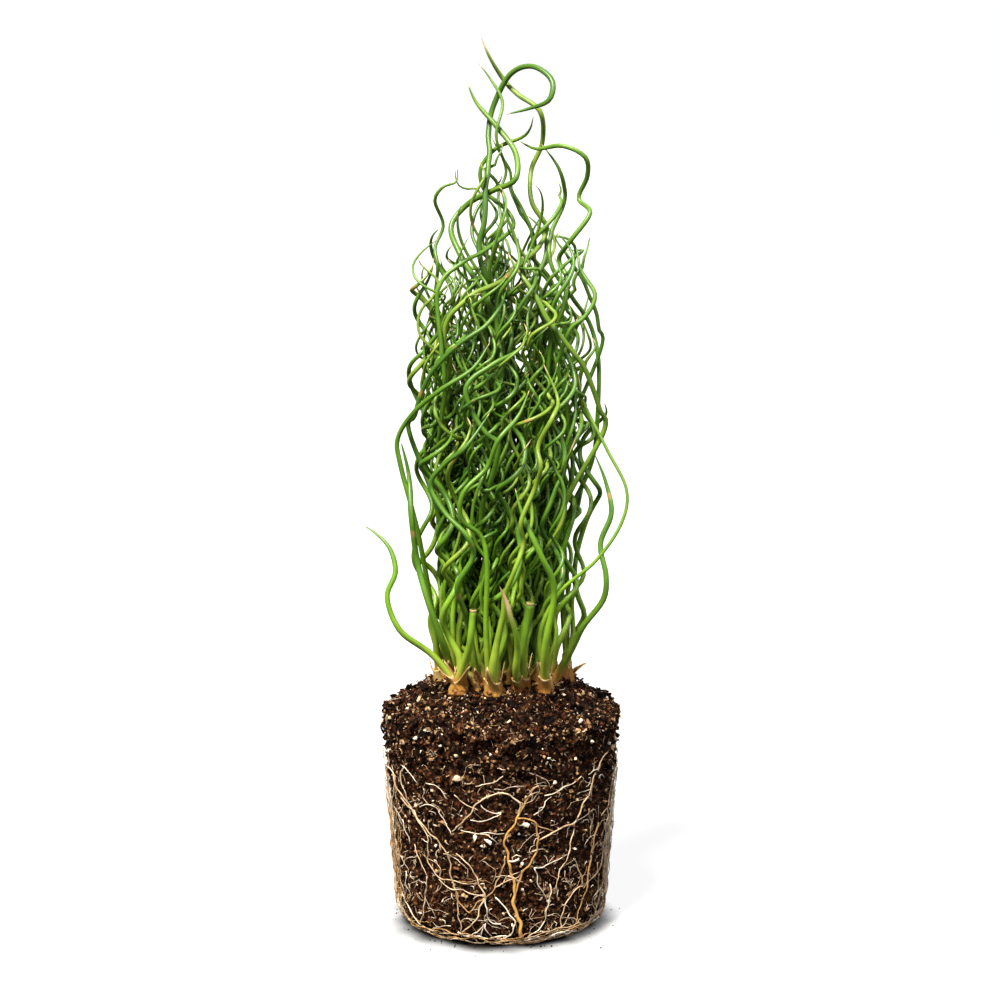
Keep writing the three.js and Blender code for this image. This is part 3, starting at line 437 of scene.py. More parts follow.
def in_facets(line, parts):
    """The line at equal shares of its facets, each cut into parts. A facet is long near the soil, short
    above."""
    curl = np.clip((line[1:, 2] - CROWN_HEIGHT) / STRAIGHT_HEIGHT, 0, 1)
    facet = STRAIGHT_STEP + (STEM_STEP - STRAIGHT_STEP) * curl
    steps = np.linalg.norm(np.diff(line, axis=0), axis=1) / facet
    measure = np.concatenate([[0], np.cumsum(steps)])
    return spaced(line, measure, max(2, int(measure[-1] + 0.5)) * parts)


def resampled(line, step):
    """The line at equal steps of about this length."""
    measure = path_length(line)
    return spaced(line, measure, max(2, int(measure[-1] / step + 0.5)))


def twist_free(line):
    """Two directions across a line that don't turn about it: a fixed direction, made square to the line, and
    turned back at each point by the twist that it has picked up on the way."""
    along = unit(np.gradient(line, axis=0))
    fixed = unit(np.array([[0.31, 0.95, 0], [0.9, -0.4, 0.1], [-0.6, 0.5, 0.6], [0.2, 0.1, 1]]))
    fixed = fixed[np.argmin(np.abs(along @ fixed.T).max(axis=0))]
    across = unit(fixed - (along @ fixed)[:, None] * along)
    beside = np.cross(along, across)
    axis = np.cross(along[:-1], along[1:])
    lean = 1 + (along[:-1] * along[1:]).sum(axis=1, keepdims=True)
    half = np.cross(axis, across[:-1])
    carried = across[:-1] + half + np.cross(axis, half) / lean
    sine = (np.cross(carried, across[1:]) * along[1:]).sum(axis=1)
    slip = np.arctan2(sine, (carried * across[1:]).sum(axis=1))
    back = -np.concatenate([[0], np.cumsum(slip)])[:, None]
    return np.cos(back) * across + np.sin(back) * beside, np.cos(back) * beside - np.sin(back) * across


# ---- How the clump grows, as in the frame ----

def place_tufts():
    """Where the tufts stand: a sunflower pattern over the crown."""
    k = np.arange(TUFTS)
    radius = CROWN_RADIUS * np.sqrt((k + CROWN_GAP) / (TUFTS - 1 + CROWN_GAP))
    angle = k * math.pi * (3 - math.sqrt(5))
    return np.stack([radius * np.cos(angle), radius * np.sin(angle)], axis=1)


def share_leaders(tufts):
    """Hands each leading stem to the tuft nearest to its foot that has room."""
    shares = [[] for _ in tufts]
    for leader in LEADERS:
        order = np.argsort(np.hypot(*(tufts - leader[0]).T), kind="stable")
        shares[next(k for k in order if len(shares[k]) < LEADERS_PER_TUFT)].append(leader)
    return shares


def underground(foot):
    """The point below a stem's foot where it starts."""
    return [(*foot, CROWN_HEIGHT - STEM_STARTS_BELOW)]


def leader_line(foot, way):
    """The way of a leading stem: up through the clump in one slow wave, and then through its own points."""
    x, y, height = way[0]
    count = max(1, int((height - CROWN_HEIGHT) / RISE_STEP + 0.5))
    rise = []
    for i in range(1, count):
        t = i / count
        swing = RISE_SWING * math.sin(math.pi * t)
        turn = RISE_TURN * i + foot[0]
        rise.append((foot[0] + (x - foot[0]) * t * t + swing * math.cos(turn),
                     foot[1] + (y - foot[1]) * t * t + swing * math.sin(turn),
                     CROWN_HEIGHT + (height - CROWN_HEIGHT) * t))
    return smooth_line([(*foot, CROWN_HEIGHT), *rise, *way], LEADER_PARTS)


def corkscrew(above, thick, draw):
    """How far a curling stem stands off its middle line: round a tilted circle that widens from the soil up
    and wavers, while the turns come closer and wider by turns."""
    swing = (COIL_RADIUS[0] + COIL_RADIUS[1] * thick) * draw(0.7, 1.5)
    pitch = (COIL_PITCH[0] + COIL_PITCH[1] * thick) * draw(0.8, 1.25)
    hand = 1 if draw(0, 1) < USUAL_HAND else -1
    phase, wobble, plane, tilt = draw(0, TURN), draw(0, TURN), draw(0, TURN), draw(-0.9, 0.9)
    unrest = 0.85 + above / 500 + 0.3 * np.sin(wobble + above / 10)
    width = swing * unrest * (1 - np.exp(-(above / CURL_HEIGHT) ** 2))
    waver = 0.7 * np.sin(wobble + TURN * above / (1.7 * pitch))
    turn = phase + hand * (TURN * above / pitch + waver)
    c, s = width * np.cos(turn), width * np.sin(turn)
    return np.stack([c * math.cos(plane) - s * math.sin(plane) * math.cos(tilt),
                     c * math.sin(plane) + s * math.cos(plane) * math.cos(tilt), s * math.sin(tilt)], axis=1)


def curly_line(foot, thick, draw):
    """The way of an ordinary stem: a corkscrew round a line that leans outwards and drifts round the
    clump."""
    start = math.hypot(*foot)
    bearing = math.atan2(foot[1], foot[0])
    end = start * SPREAD + draw(-3, 3)
    drift = draw(-0.3, 0.3)
    share = min(1, (end / CLUMP_RADIUS) ** 2)
    reach = (REACH_MIDDLE - (REACH_MIDDLE - REACH_EDGE) * share) * draw(0.6, 1)
    above = reach * np.arange(WAY_PARTS + 1) / WAY_PARTS
    out = start + (end - start) * (1 - np.exp(-above / SPREAD_HEIGHT))
    heading = bearing + drift * above / 100
    middle = np.stack([out * np.cos(heading), out * np.sin(heading), CROWN_HEIGHT + above], axis=1)
    return middle + corkscrew(above, thick, draw)


def crossing_line(foot, head, reach, thick, draw):
    """The way of a slender stem: a corkscrew round a line that leans across the clump from its foot to its
    head, most of it low down."""
    above = reach * np.arange(WAY_PARTS + 1) / WAY_PARTS
    lean = (1 - np.exp(-above / (0.6 * reach))) / (1 - math.exp(-1 / 0.6))
    middle = np.stack([foot[0] + (head[0] - foot[0]) * lean, foot[1] + (head[1] - foot[1]) * lean,
                       CROWN_HEIGHT + above], axis=1)
    return middle + corkscrew(above, thick, draw)


def frame_radii(points, thick, cut):
    """A stem's radius in the frame: a flare at the soil, a slow taper, and a point unless it was cut off."""
    last = len(points) - 1
    i = np.arange(last + 1)
    flare = 1 + BASE_FLARE * np.exp(-np.maximum(0, points[:, 2] - CROWN_HEIGHT) / FLARE_HEIGHT)
    to_tip = 1 if cut else np.minimum(1, (last - i) * STEM_STEP / TIP_LENGTH) ** TIP_CURVE
    return np.maximum(TIP_RADIUS, thick * flare * (1 - STEM_TAPER * i / last) * to_tip)


def grow_tuft(tuft, index, leaders, draw):
    """All the stems of one tuft, and its sheath, each with its way in long facets and in short parts."""
    stems = []
    lean = math.atan2(tuft[1], tuft[0])
    count = STEMS_PER_TUFT - 1 if index < INNER_TUFTS else STEMS_PER_TUFT
    for i in range(count):
        foot = away_from(tuft, STEM_RING, lean + TURN * (i + 0.5) / count + draw(-0.25, 0.25))
        size = draw(0, 1)
        thick = draw(*next(radii for share, *radii in THICKNESSES if size < share))
        cut, look = False, None
        rank = {0: 0, count - 1: 1}.get(i, LEADERS_PER_TUFT)
        if rank < len(leaders):
            own_foot, thick, cut, way = leaders[rank]
            look = LEADER_LOOKS.get(own_foot)
            line = leader_line(foot, way)
        else:
            line = curly_line(foot, thick, draw)
        coarse = np.concatenate([underground(foot), in_facets(line, 1)])
        stems.append(SimpleNamespace(
            tuft=index, foot=foot, thick=thick, cut=cut, look=look, coarse=coarse,
            radii=frame_radii(coarse, thick, cut), fine=in_facets(line, PARTS_PER_FACET), sheath=False))
    angle = lean + draw(-0.6, 0.6)
    t = np.array([0, 0.5, 1])
    x, y = away_from(tuft, SHEATH_RING + SHEATH_LEAN * t, angle)
    line = np.stack([x, y, CROWN_HEIGHT - 1 + SHEATH_LENGTH * t], axis=1)
    stems.append(SimpleNamespace(
        tuft=index, foot=tuple(line[0, :2]), thick=SHEATH_RADIUS, cut=False, coarse=line,
        radii=np.array([SHEATH_RADIUS, SHEATH_RADIUS, TIP_RADIUS]), fine=line, sheath=True, angle=angle))
    return stems


# ---- Keeping stems apart ----

def close_pairs(points, start, owner, tuft, near):
    """The pairs of pieces whose middles are nearer than near. Low down, those of one tuft may grow
    together."""
    middle = (points[start] + points[start + 1]) / 2
    size = (middle ** 2).sum(axis=1)
    found = []
    for low in range(0, len(middle), ROWS_AT_ONCE):
        part = slice(low, low + ROWS_AT_ONCE)
        apart = size[part, None] + size[None, low:] - 2 * middle[part] @ middle[low:].T
        one, two = np.nonzero(apart < near ** 2)
        keep = two > one
        found.append(np.stack([one[keep] + low, two[keep] + low]))
    one, two = np.concatenate(found, axis=1)
    grown_together = (tuft[start[one]] == tuft[start[two]]) & (
        np.minimum(middle[one, 2], middle[two, 2]) < CROWN_HEIGHT + FUSED_HEIGHT)
    keep = (owner[start[one]] != owner[start[two]]) & ~grown_together
    return start[one[keep]], start[two[keep]]


def push_apart(lines, radii, tufts, give, rounds, swell, air, near):
    """Moves lines that touch until each has air round it. Two pieces share the push by how much each line
    gives, and a point shares its move with its neighbours."""
    counts = [len(line) for line in lines]
    points = np.concatenate(lines)
    radii = np.concatenate(radii)
    owner = np.repeat(np.arange(len(lines)), counts)
    tuft = np.repeat(tufts, counts)
    give = np.repeat(give, counts)
    change = owner[1:] != owner[:-1]
    index = np.arange(len(points))
    before = index - ~np.concatenate([[True], change])
    after = index + ~np.concatenate([change, [True]])
    start = index[after > index]
    for turn in range(rounds):
        if turn % PAIRS_LAST == 0:
            one, two = close_pairs(points, start, owner, tuft, near)
            need = swell * (np.maximum(radii[one], radii[one + 1])
                            + np.maximum(radii[two], radii[two + 1])) + air
            split = give[one] / (give[one] + give[two])
        p, u = points[one], points[two]
        along, across, between = points[one + 1] - p, points[two + 1] - u, p - u
        a, b, c = (along ** 2).sum(1), (along * across).sum(1), (along * between).sum(1)
        e, f = (across ** 2).sum(1), (across * between).sum(1)
        s = np.clip((b * f - c * e) / np.maximum(a * e - b * b, 1e-9), 0, 1)
        t = (b * s + f) / e
        s = np.where(t < 0, np.clip(-c / a, 0, 1), np.where(t > 1, np.clip((b - c) / a, 0, 1), s))
        t = np.clip(t, 0, 1)
        gap = between + s[:, None] * along - t[:, None] * across
        distance = np.maximum(np.linalg.norm(gap, axis=1), 1e-6)
        push = np.maximum(need - distance, 0)[:, None] / distance[:, None] * gap
        moves = np.zeros_like(points)
        for point, weight in ((one, split * (1 - s)), (one + 1, split * s),
                              (two, (split - 1) * (1 - t)), (two + 1, (split - 1) * t)):
            np.add.at(moves, point, weight[:, None] * push)
        free = np.clip((points[:, 2:] - CROWN_HEIGHT - HELD_HEIGHT) / FREED_OVER, 0, 1)
        points = points + free * (OWN_PUSH * moves + PASSED_ON * (moves[before] + moves[after]))
    return np.split(points, np.cumsum(counts)[:-1])


def round_radii(stem):
    """A stem's radius here: its thickness, swollen at the soil in two steps, a little less at its end, with a
    faint waver, and drawn out to a point over its last stretch unless it was cut off. Those with looks of
    their own are slimmer above the foot."""
    above = np.maximum(stem.line[:, 2] - CROWN_HEIGHT, 0)
    length = path_length(stem.line)
    swell = 1 + BASE_FLARE * np.exp(-above / FLARE_HEIGHT) + SWOLLEN_FOOT * np.exp(-above / SWOLLEN_HEIGHT)
    stretch = stem.look[2] if stem.look else 4 + 14 * stem.thick
    point = 1 if stem.cut else np.minimum(1, (length[-1] - length) / stretch) ** TIP_CURVE
    waver = 1 + 0.03 * np.sin(length / 4 + 50 * stem.thick)
    if stem.look:
        waver = waver * (1 - SLIMMER * np.clip((above - SLIMMER_FROM) / SLIMMER_OVER, 0, 1))
    return np.maximum(stem.thick * swell * (1 - STEM_TAPER * length / length[-1]) * point * waver, 0.1)


def extra_stem(number, draw):
    """A slender stem, or a young shoot, with its way: it grows out of a disc, and leans round to its head."""
    young = number >= THIN_STEMS
    radius, angle = (YOUNG_FOOT if young else THIN_FOOT) * math.sqrt(draw(0, 1)), draw(0, TURN)
    foot = away_from((0, 0), radius, angle)
    radius, angle = THIN_HEAD * math.sqrt(draw(0, 1)), angle + draw(-2, 2)
    if young:
        radius = YOUNG_LEAN * math.hypot(*foot)
    head = away_from((0, 0), radius, angle)
    reach = draw(12, 60) if young else (REACH_MIDDLE - REACH_FALL * radius ** 2) * draw(0.6, 1)
    thick = draw(0.7, 1.0) if young else draw(0.5, 0.88)
    line = in_facets(crossing_line(foot, head, reach, thick, draw), PARTS_PER_FACET)
    return SimpleNamespace(tuft=EXTRA + number, foot=foot, thick=thick, cut=False, look=None, give=THIN_GIVE,
                           line=np.concatenate([underground(foot), line]))


def grow_clump():
    """Every stem: those of the frame at their places there, and slender and young ones that find room
    between."""
    draw = draw_source(SEED)
    tufts = place_tufts()
    leaders = share_leaders(tufts)
    grown = []
    for index, tuft in enumerate(tufts):
        grown += grow_tuft(tuft, index, leaders[index], draw)
    settled = push_apart(
        [stem.coarse for stem in grown], [stem.radii for stem in grown], [stem.tuft for stem in grown],
        np.ones(len(grown)), APART_ROUNDS, FACET_SWELL, STEM_GAP, PAIR_REACH)
    stems = []
    for stem, points in zip(grown, settled):
        if not stem.sheath:
            moved = smooth_line((points - stem.coarse)[1:], PARTS_PER_FACET)
            stem.line = np.concatenate([underground(stem.foot), stem.fine + moved])
            stem.give = 1
            stems.append(stem)
    draw = draw_source(SEED + 1)
    stems += [extra_stem(number, draw) for number in range(THIN_STEMS + YOUNG_SHOOTS)]
    lines = push_apart(
        [stem.line for stem in stems], [round_radii(stem) for stem in stems], [stem.tuft for stem in stems],
        [stem.give for stem in stems], SMOOTH_ROUNDS, 1, ROUND_GAP, ROUND_REACH)
    for stem, line in zip(stems, lines):
        stem.line = line
    return tufts, grown, stems


# ---- Meshes ----

def tube_faces(rings, sides):
    """Triangles of a closed tube: rings of so many sides, then a point at its start and a point at its
    end."""
    ring = np.arange(rings - 1)[:, None] * sides
    side = np.arange(sides)[None, :]
    a, b = ring + side, ring + (side + 1) % sides
    c, d = b + sides, a + sides
    wall = np.concatenate([np.stack([a, b, c], -1).reshape(-1, 3), np.stack([a, c, d], -1).reshape(-1, 3)])
    side, after = side[0], (side[0] + 1) % sides
    top = (rings - 1) * sides
    foot = np.stack([np.full(sides, rings * sides), after, side], axis=1)
    head = np.stack([np.full(sides, rings * sides + 1), top + side, top + after], axis=1)
    return np.concatenate([wall, foot, head])


def tube(line, radii, sides):
    """A round tube: at each point of the line, radius times (cos, sin) of an angle, along two directions
    across it that don't twist. Returns vertices, triangles, and each vertex's place on the straightened
    tube."""
    across, beside = twist_free(line)
    angle = TURN * np.arange(sides) / sides
    flat = radii[:, None, None] * np.stack([np.cos(angle), np.sin(angle)], axis=1)[None]
    rings = line[:, None, :] + flat[..., :1] * across[:, None] + flat[..., 1:] * beside[:, None]
    vertices = np.concatenate([rings.reshape(-1, 3), line[:1], line[-1:]])
    length = path_length(line)
    straight = np.concatenate([flat, np.broadcast_to(length[:, None, None], (len(line), sides, 1))], axis=2)
    ends = [(0, 0, length[0]), (0, 0, length[-1])]
    return vertices, tube_faces(len(line), sides), np.concatenate([straight.reshape(-1, 3), ends])


def toned_tube(line, radii, sides, tone):
    """A round tube with one tone all over."""
    vertices, faces, _ = tube(line, radii, sides)
    return vertices, faces, np.full(len(vertices), tone)


def turned_grid(radius, height, columns):
    """A profile turned about the axis: (radius cos, radius sin, height) at equal angles, as rows by
    columns."""
    angle = TURN * np.arange(columns) / columns
    height = np.broadcast_to(height[:, None], (len(radius), columns))
    return np.stack([radius[:, None] * np.cos(angle), radius[:, None] * np.sin(angle), height], axis=2)


def in_scene(name, data):
    """A new object in the scene, at the origin."""
    thing = bpy.data.objects.new(name, data)
    bpy.context.scene.collection.objects.link(thing)
    return thing


def add_piece(name, vertices, faces, material, slot, replaced=(), smooth=True, **values):
    """A piece on the one body, from vertices in millimetres and triangles, with named values at its
    vertices."""
    mesh = bpy.data.meshes.new(name)
    mesh.vertices.add(len(vertices))
    mesh.vertices.foreach_set("co", (vertices * MM).astype(np.float32).ravel())
    mesh.loops.add(faces.size)
    mesh.loops.foreach_set("vertex_index", faces.astype(np.int32).ravel())
    mesh.polygons.add(len(faces))
    mesh.polygons.foreach_set("loop_start", np.arange(0, faces.size, 3, dtype=np.int32))
    mesh.polygons.foreach_set("use_smooth", np.full(len(faces), smooth))
    for key, data in values.items():
        data = np.asarray(data, np.float32)
        kind, field = ("FLOAT_VECTOR", "vector") if data.ndim == 2 else ("FLOAT", "value")
        mesh.attributes.new(key, kind, "POINT").data.foreach_set(field, data.ravel())
    mesh.update(calc_edges=True)
    mesh.materials.append(material)
    piece = in_scene(name, mesh)
    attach(piece, "root")
    if replaced:
        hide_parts(*replaced)


def add_parts(name, parts, keys, material, slot, replaced=()):
    """Several (vertices, triangles, *values at the vertices) as one piece, its values named by the keys."""
    first = np.cumsum([0] + [len(part[0]) for part in parts])
    faces = np.concatenate([part[1] + step for part, step in zip(parts, first)])
    values = {key: np.concatenate([part[k] for part in parts]) for k, key in enumerate(keys, start=2)}
    add_piece(name, np.concatenate([part[0] for part in parts]), faces, material, slot, replaced, **values)


# ---- Materials ----

def paint(code):
    """An sRGB hex colour as linear red, green, blue and alpha."""
    parts = [int(code[k:k + 2], 16) / 255 for k in (1, 3, 5)]
    return (*[p / 12.92 if p <= 0.04045 else ((p + 0.055) / 1.055) ** 2.4 for p in parts], 1)


def add_node(tree, kind, sockets=None, out=0, stops=(), **settings):
    """One output of a new shader node with its settings. Each of its sockets takes a value, or a link where
    it is given another node's output. Stops are the (place, hex colour) pairs of a colour ramp."""
    node = tree.nodes.new("ShaderNode" + kind)
    for key, value in settings.items():
        setattr(node, key, value)
    for key, value in (sockets or {}).items():
        if isinstance(value, bpy.types.NodeSocket):
            tree.links.new(value, node.inputs[key])
        else:
            node.inputs[key].default_value = value
    if stops:
        points = node.color_ramp.elements
        while len(points) < len(stops):
            points.new(0.5)
        for point, (place, code) in zip(points, stops):
            point.position = place
            point.color = paint(code)
    return node.outputs[out]


def new_material(name, **constants):
    """A material and its node tree, with constants set on its shader. A socket of the shader is named with
    underscores for spaces, here and in connected."""
    material = bpy.data.materials.new(name)
    material.use_nodes = True
    for key, value in constants.items():
        material.node_tree.nodes["Principled BSDF"].inputs[key.replace("_", " ")].default_value = value
    return material, material.node_tree


def connected(material, **outputs):
    """The material, with the outputs of its nodes linked to its shader."""
    tree = material.node_tree
    for key, output in outputs.items():
        tree.links.new(output, tree.nodes["Principled BSDF"].inputs[key.replace("_", " ")])
    return material


def rush_stem():
    """Living rush stem: a round green stem under a thin wax, so it shines softly in long streaks. It is tan
    where it leaves the rhizome, yellow-green just above, deeper green higher up, and dries to pinkish tan at
    its tip. Near the middle of the clump it is darkened with painted shade."""
    material, tree = new_material("waxy_rush_stem", Roughness=0.4, Specular_IOR_Level=0.42)
    growth = add_node(tree, "Attribute", out="Vector", attribute_name="growth")
    from_foot, from_tip, tone = add_node(tree, "SeparateXYZ", {0: growth}).node.outputs
    inside = add_node(tree, "Attribute", out="Fac", attribute_name="inside")
    skin = add_node(tree, "Attribute", out="Vector", attribute_name="skin")
    length = add_node(tree, "SeparateXYZ", {0: skin}, 2)
    # Streaks about a millimetre wide and 14 long, and blotches of 8 mm.
    along = add_node(tree, "Mapping", {0: skin, 3: (0.8, 0.8, 0.07)})
    streak = add_node(tree, "TexNoise", {"Vector": along, "Scale": 1.0, "Detail": 1.0})
    blotch = add_node(tree, "TexNoise", {"Vector": skin, "Scale": 0.12, "Detail": 2.0})
    # The tan foot ends in streaks, and here and there a joint has dried to tan.
    ragged = add_node(tree, "Math", {0: streak, 1: 6.0, 2: from_foot}, operation="MULTIPLY_ADD")
    place = add_node(tree, "Math", {0: tone, 1: 900.0, 2: length}, operation="MULTIPLY_ADD")
    band = add_node(tree, "TexNoise", {"W": place, "Scale": 0.08, "Detail": 1.0}, noise_dimensions="1D")

    height = add_node(tree, "Math", {0: from_foot, 1: 200.0}, operation="DIVIDE")
    green = add_node(tree, "ValToRGB", {0: height}, stops=[
        (0.0, "#94723a"), (0.018, "#938536"), (0.045, "#9bab38"), (0.12, "#88ae2c"), (0.24, "#659318"),
        (0.4, "#4a7412"), (1.0, "#5d8328")])
    dried = add_node(tree, "ValToRGB", {0: from_tip}, stops=[
        (0.0, "#6b4536"), (0.2, "#b8946c"), (0.5, "#cdb384"), (1.0, "#a39f4c")])
    # Laid over the green in turn: yellow stems, dark stems, streaks, blotches, painted shade near the middle
    # of the clump, foot, joints and tip.
    for value, low, high, least, most, colour in (
            (tone, 0.7, 1.0, 0.0, 0.55, paint("#98a53a")), (tone, 0.45, 0.0, 0.0, 0.6, paint("#1d4f1e")),
            (streak, 0.45, 0.75, 0.0, 0.4, paint("#7fa22c")), (blotch, 0.4, 0.7, 0.0, 0.45, paint("#27520a")),
            (inside, 0.0, 1.0, 0.0, 0.6, paint("#1d3a08")), (ragged, 5.0, 12.0, 0.9, 0.0, paint("#b5853f")),
            (band, 0.79, 0.85, 0.0, 0.75, paint("#a07e48")), (from_tip, 0.5, 1.1, 1.0, 0.0, dried)):
        share = add_node(tree, "MapRange", {0: value, 1: low, 2: high, 3: least, 4: most})
        green = add_node(tree, "Mix", {0: share, 6: green, 7: colour}, 2, data_type="RGBA")
    relief = add_node(tree, "Bump", {"Height": streak, "Distance": 0.1 * MM, "Strength": 0.6})
    gloss = add_node(tree, "MapRange", {0: streak, 1: 0.2, 2: 0.8, 3: 0.3, 4: 0.5})
    return connected(material, Base_Color=green, Normal=relief, Roughness=gloss)


def dry_sheath():
    """Dead basal sheath: thin brown paper with long fibres, tan to cream, red-brown on some, worn pale at its
    edge, matt."""
    material, tree = new_material("dry_papery_sheath", Roughness=0.7, Specular_IOR_Level=0.3)
    tone = add_node(tree, "Attribute", out="Fac", attribute_name="tone")
    edge = add_node(tree, "Attribute", out="Fac", attribute_name="edge")
    skin = add_node(tree, "Attribute", out="Vector", attribute_name="skin")
    # Fibres a third of a millimetre wide and 4 mm long.
    along = add_node(tree, "Mapping", {0: skin, 3: (3.0, 3.0, 0.25)})
    fibre = add_node(tree, "TexNoise", {"Vector": along, "Scale": 1.0, "Detail": 3.0})
    worn = add_node(tree, "Math", {0: fibre, 1: 0.9, 2: edge}, operation="MULTIPLY_ADD")
    paper = add_node(tree, "ValToRGB", {0: tone}, stops=[
        (0.0, "#76392c"), (0.16, "#8c5c24"), (0.4, "#a6722b"), (0.65, "#b98b3d"), (1.0, "#c9ac6c")])
    for value, low, high, most, code in (
            (fibre, 0.4, 0.7, 0.6, "#573511"), (worn, 0.75, 1.4, 0.8, "#d6bd8a")):
        share = add_node(tree, "MapRange", {0: value, 1: low, 2: high, 3: 0.0, 4: most})
        paper = add_node(tree, "Mix", {0: share, 6: paper, 7: paint(code)}, 2, data_type="RGBA")
    relief = add_node(tree, "Bump", {"Height": fibre, "Distance": 0.3 * MM, "Strength": 0.7})
    return connected(material, Base_Color=paper, Normal=relief)


def rhizome_skin():
    """Rhizome: a woody knob under orange-brown skin, in scales of about a millimetre, with earth in its
    creases."""
    material, tree = new_material("scaly_rhizome", Roughness=0.6, Specular_IOR_Level=0.3)
    spot = add_node(tree, "TexCoord", out="Object")
    scales = add_node(tree, "TexNoise", {"Vector": spot, "Scale": 0.9 / MM, "Detail": 3.0})
    skin = add_node(tree, "ValToRGB", {0: scales}, stops=[
        (0.3, "#2b190d"), (0.5, "#7a4c22"), (0.7, "#ad7837")])
    relief = add_node(tree, "Bump", {"Height": scales, "Distance": 0.6 * MM, "Strength": 0.8})
    return connected(material, Base_Color=skin, Normal=relief)


def pith():
    """Cut stem end: pale, dry, spongy pith inside a tan rim, with pores of less than half a millimetre."""
    material, tree = new_material("dry_pith", Roughness=0.85, Specular_IOR_Level=0.2)
    skin = add_node(tree, "Attribute", out="Vector", attribute_name="skin")
    grain = add_node(tree, "TexNoise", {"Vector": skin, "Scale": 2.5, "Detail": 2.0})
    pale = add_node(tree, "ValToRGB", {0: grain}, stops=[(0.35, "#b98a5a"), (0.65, "#dcc29a")])
    relief = add_node(tree, "Bump", {"Height": grain, "Distance": 0.3 * MM, "Strength": 0.8})
    return connected(material, Base_Color=pale, Normal=relief)


def damp_compost(name):
    """Damp peat and bark compost: nearly black crumbs with red-brown bark among them. Water has soaked in, so
    it is dark, with a faint gleam on the smoother grains only."""
    material, tree = new_material(name, Roughness=0.7, Specular_IOR_Level=0.05)
    tone = add_node(tree, "Attribute", out="Fac", attribute_name="tone")
    spot = add_node(tree, "TexCoord", out="Object")
    # Grains of about half a millimetre, patches of 8 mm, and chips of nearly 1 mm.
    grain = add_node(tree, "TexNoise", {"Vector": spot, "Scale": 1.8 / MM, "Detail": 3.0})
    patch = add_node(tree, "TexNoise", {"Vector": spot, "Scale": 0.12 / MM, "Detail": 2.0})
    chips = add_node(tree, "TexVoronoi", {"Vector": spot, "Scale": 1.1 / MM}, out="Color")
    red, green, blue = add_node(tree, "SeparateColor", {0: chips}).node.outputs
    earth = add_node(tree, "ValToRGB", {0: tone}, stops=[
        (0.0, "#070302"), (0.25, "#180d07"), (0.5, "#3a2315"), (0.72, "#6b4227"), (0.88, "#9b6a42"),
        (1.0, "#d2b083")])
    for value, low, high, most, code in (
            (patch, 0.45, 0.7, 0.3, "#47291a"), (red, 0.78, 0.8, 0.55, "#6e3d22"),
            (green, 0.93, 0.94, 0.7, "#b8946c"), (blue, 0.35, 0.3, 0.8, "#060301"),
            (grain, 0.42, 0.64, 0.85, "#050201")):
        share = add_node(tree, "MapRange", {0: value, 1: low, 2: high, 3: 0.0, 4: most})
        earth = add_node(tree, "Mix", {0: share, 6: earth, 7: paint(code)}, 2, data_type="RGBA")
    gloss = add_node(tree, "MapRange", {0: grain, 1: 0.3, 2: 0.7, 3: 0.35, 4: 0.9})
    relief = add_node(tree, "Bump", {"Height": grain, "Distance": 0.5 * MM, "Strength": 0.9})
    return connected(material, Base_Color=earth, Roughness=gloss, Normal=relief)


def perlite():
    """Perlite: white expanded volcanic glass, matt, with pits of half a millimetre and a little earth on
    it."""
    material, tree = new_material("earthy_perlite", Roughness=0.8, Specular_IOR_Level=0.2)
    tone = add_node(tree, "Attribute", out="Fac", attribute_name="tone")
    spot = add_node(tree, "TexCoord", out="Object")
    pits = add_node(tree, "TexNoise", {"Vector": spot, "Scale": 2.2 / MM, "Detail": 2.0})
    white = add_node(tree, "ValToRGB", {0: tone}, stops=[
        (0.0, "#8a6442"), (0.4, "#b8946c"), (0.75, "#d6c3a6"), (1.0, "#e6dccb")])
    share = add_node(tree, "MapRange", {0: pits, 1: 0.5, 2: 0.7, 3: 0.0, 4: 0.4})
    white = add_node(tree, "Mix", {0: share, 6: white, 7: paint("#7a5d40")}, 2, data_type="RGBA")
    relief = add_node(tree, "Bump", {"Height": pits, "Distance": 0.4 * MM, "Strength": 0.7})
    return connected(material, Base_Color=white, Normal=relief)


def living_root(name):
    """Living root: smooth and faintly damp, cream when young, tan to amber where it has thickened, with soil
    stuck to it in patches of about 4 mm."""
    material, tree = new_material(name, Roughness=0.38, Specular_IOR_Level=0.5)
    tone = add_node(tree, "Attribute", out="Fac", attribute_name="tone")
    spot = add_node(tree, "TexCoord", out="Object")
    stain = add_node(tree, "TexNoise", {"Vector": spot, "Scale": 0.26 / MM, "Detail": 3.0})
    root = add_node(tree, "ValToRGB", {0: tone}, stops=[
        (0.0, "#efe1cd"), (0.3, "#d3b896"), (0.6, "#ab8353"), (0.85, "#bc8c48"), (1.0, "#c99850")])
    share = add_node(tree, "MapRange", {0: stain, 1: 0.48, 2: 0.7, 3: 0.0, 4: 0.7})
    root = add_node(tree, "Mix", {0: share, 6: root, 7: paint("#523721")}, 2, data_type="RGBA")
    relief = add_node(tree, "Bump", {"Height": stain, "Distance": 0.3 * MM, "Strength": 0.6})
    return connected(material, Base_Color=root, Normal=relief)


# ---- Stems, rhizomes and sheaths ----

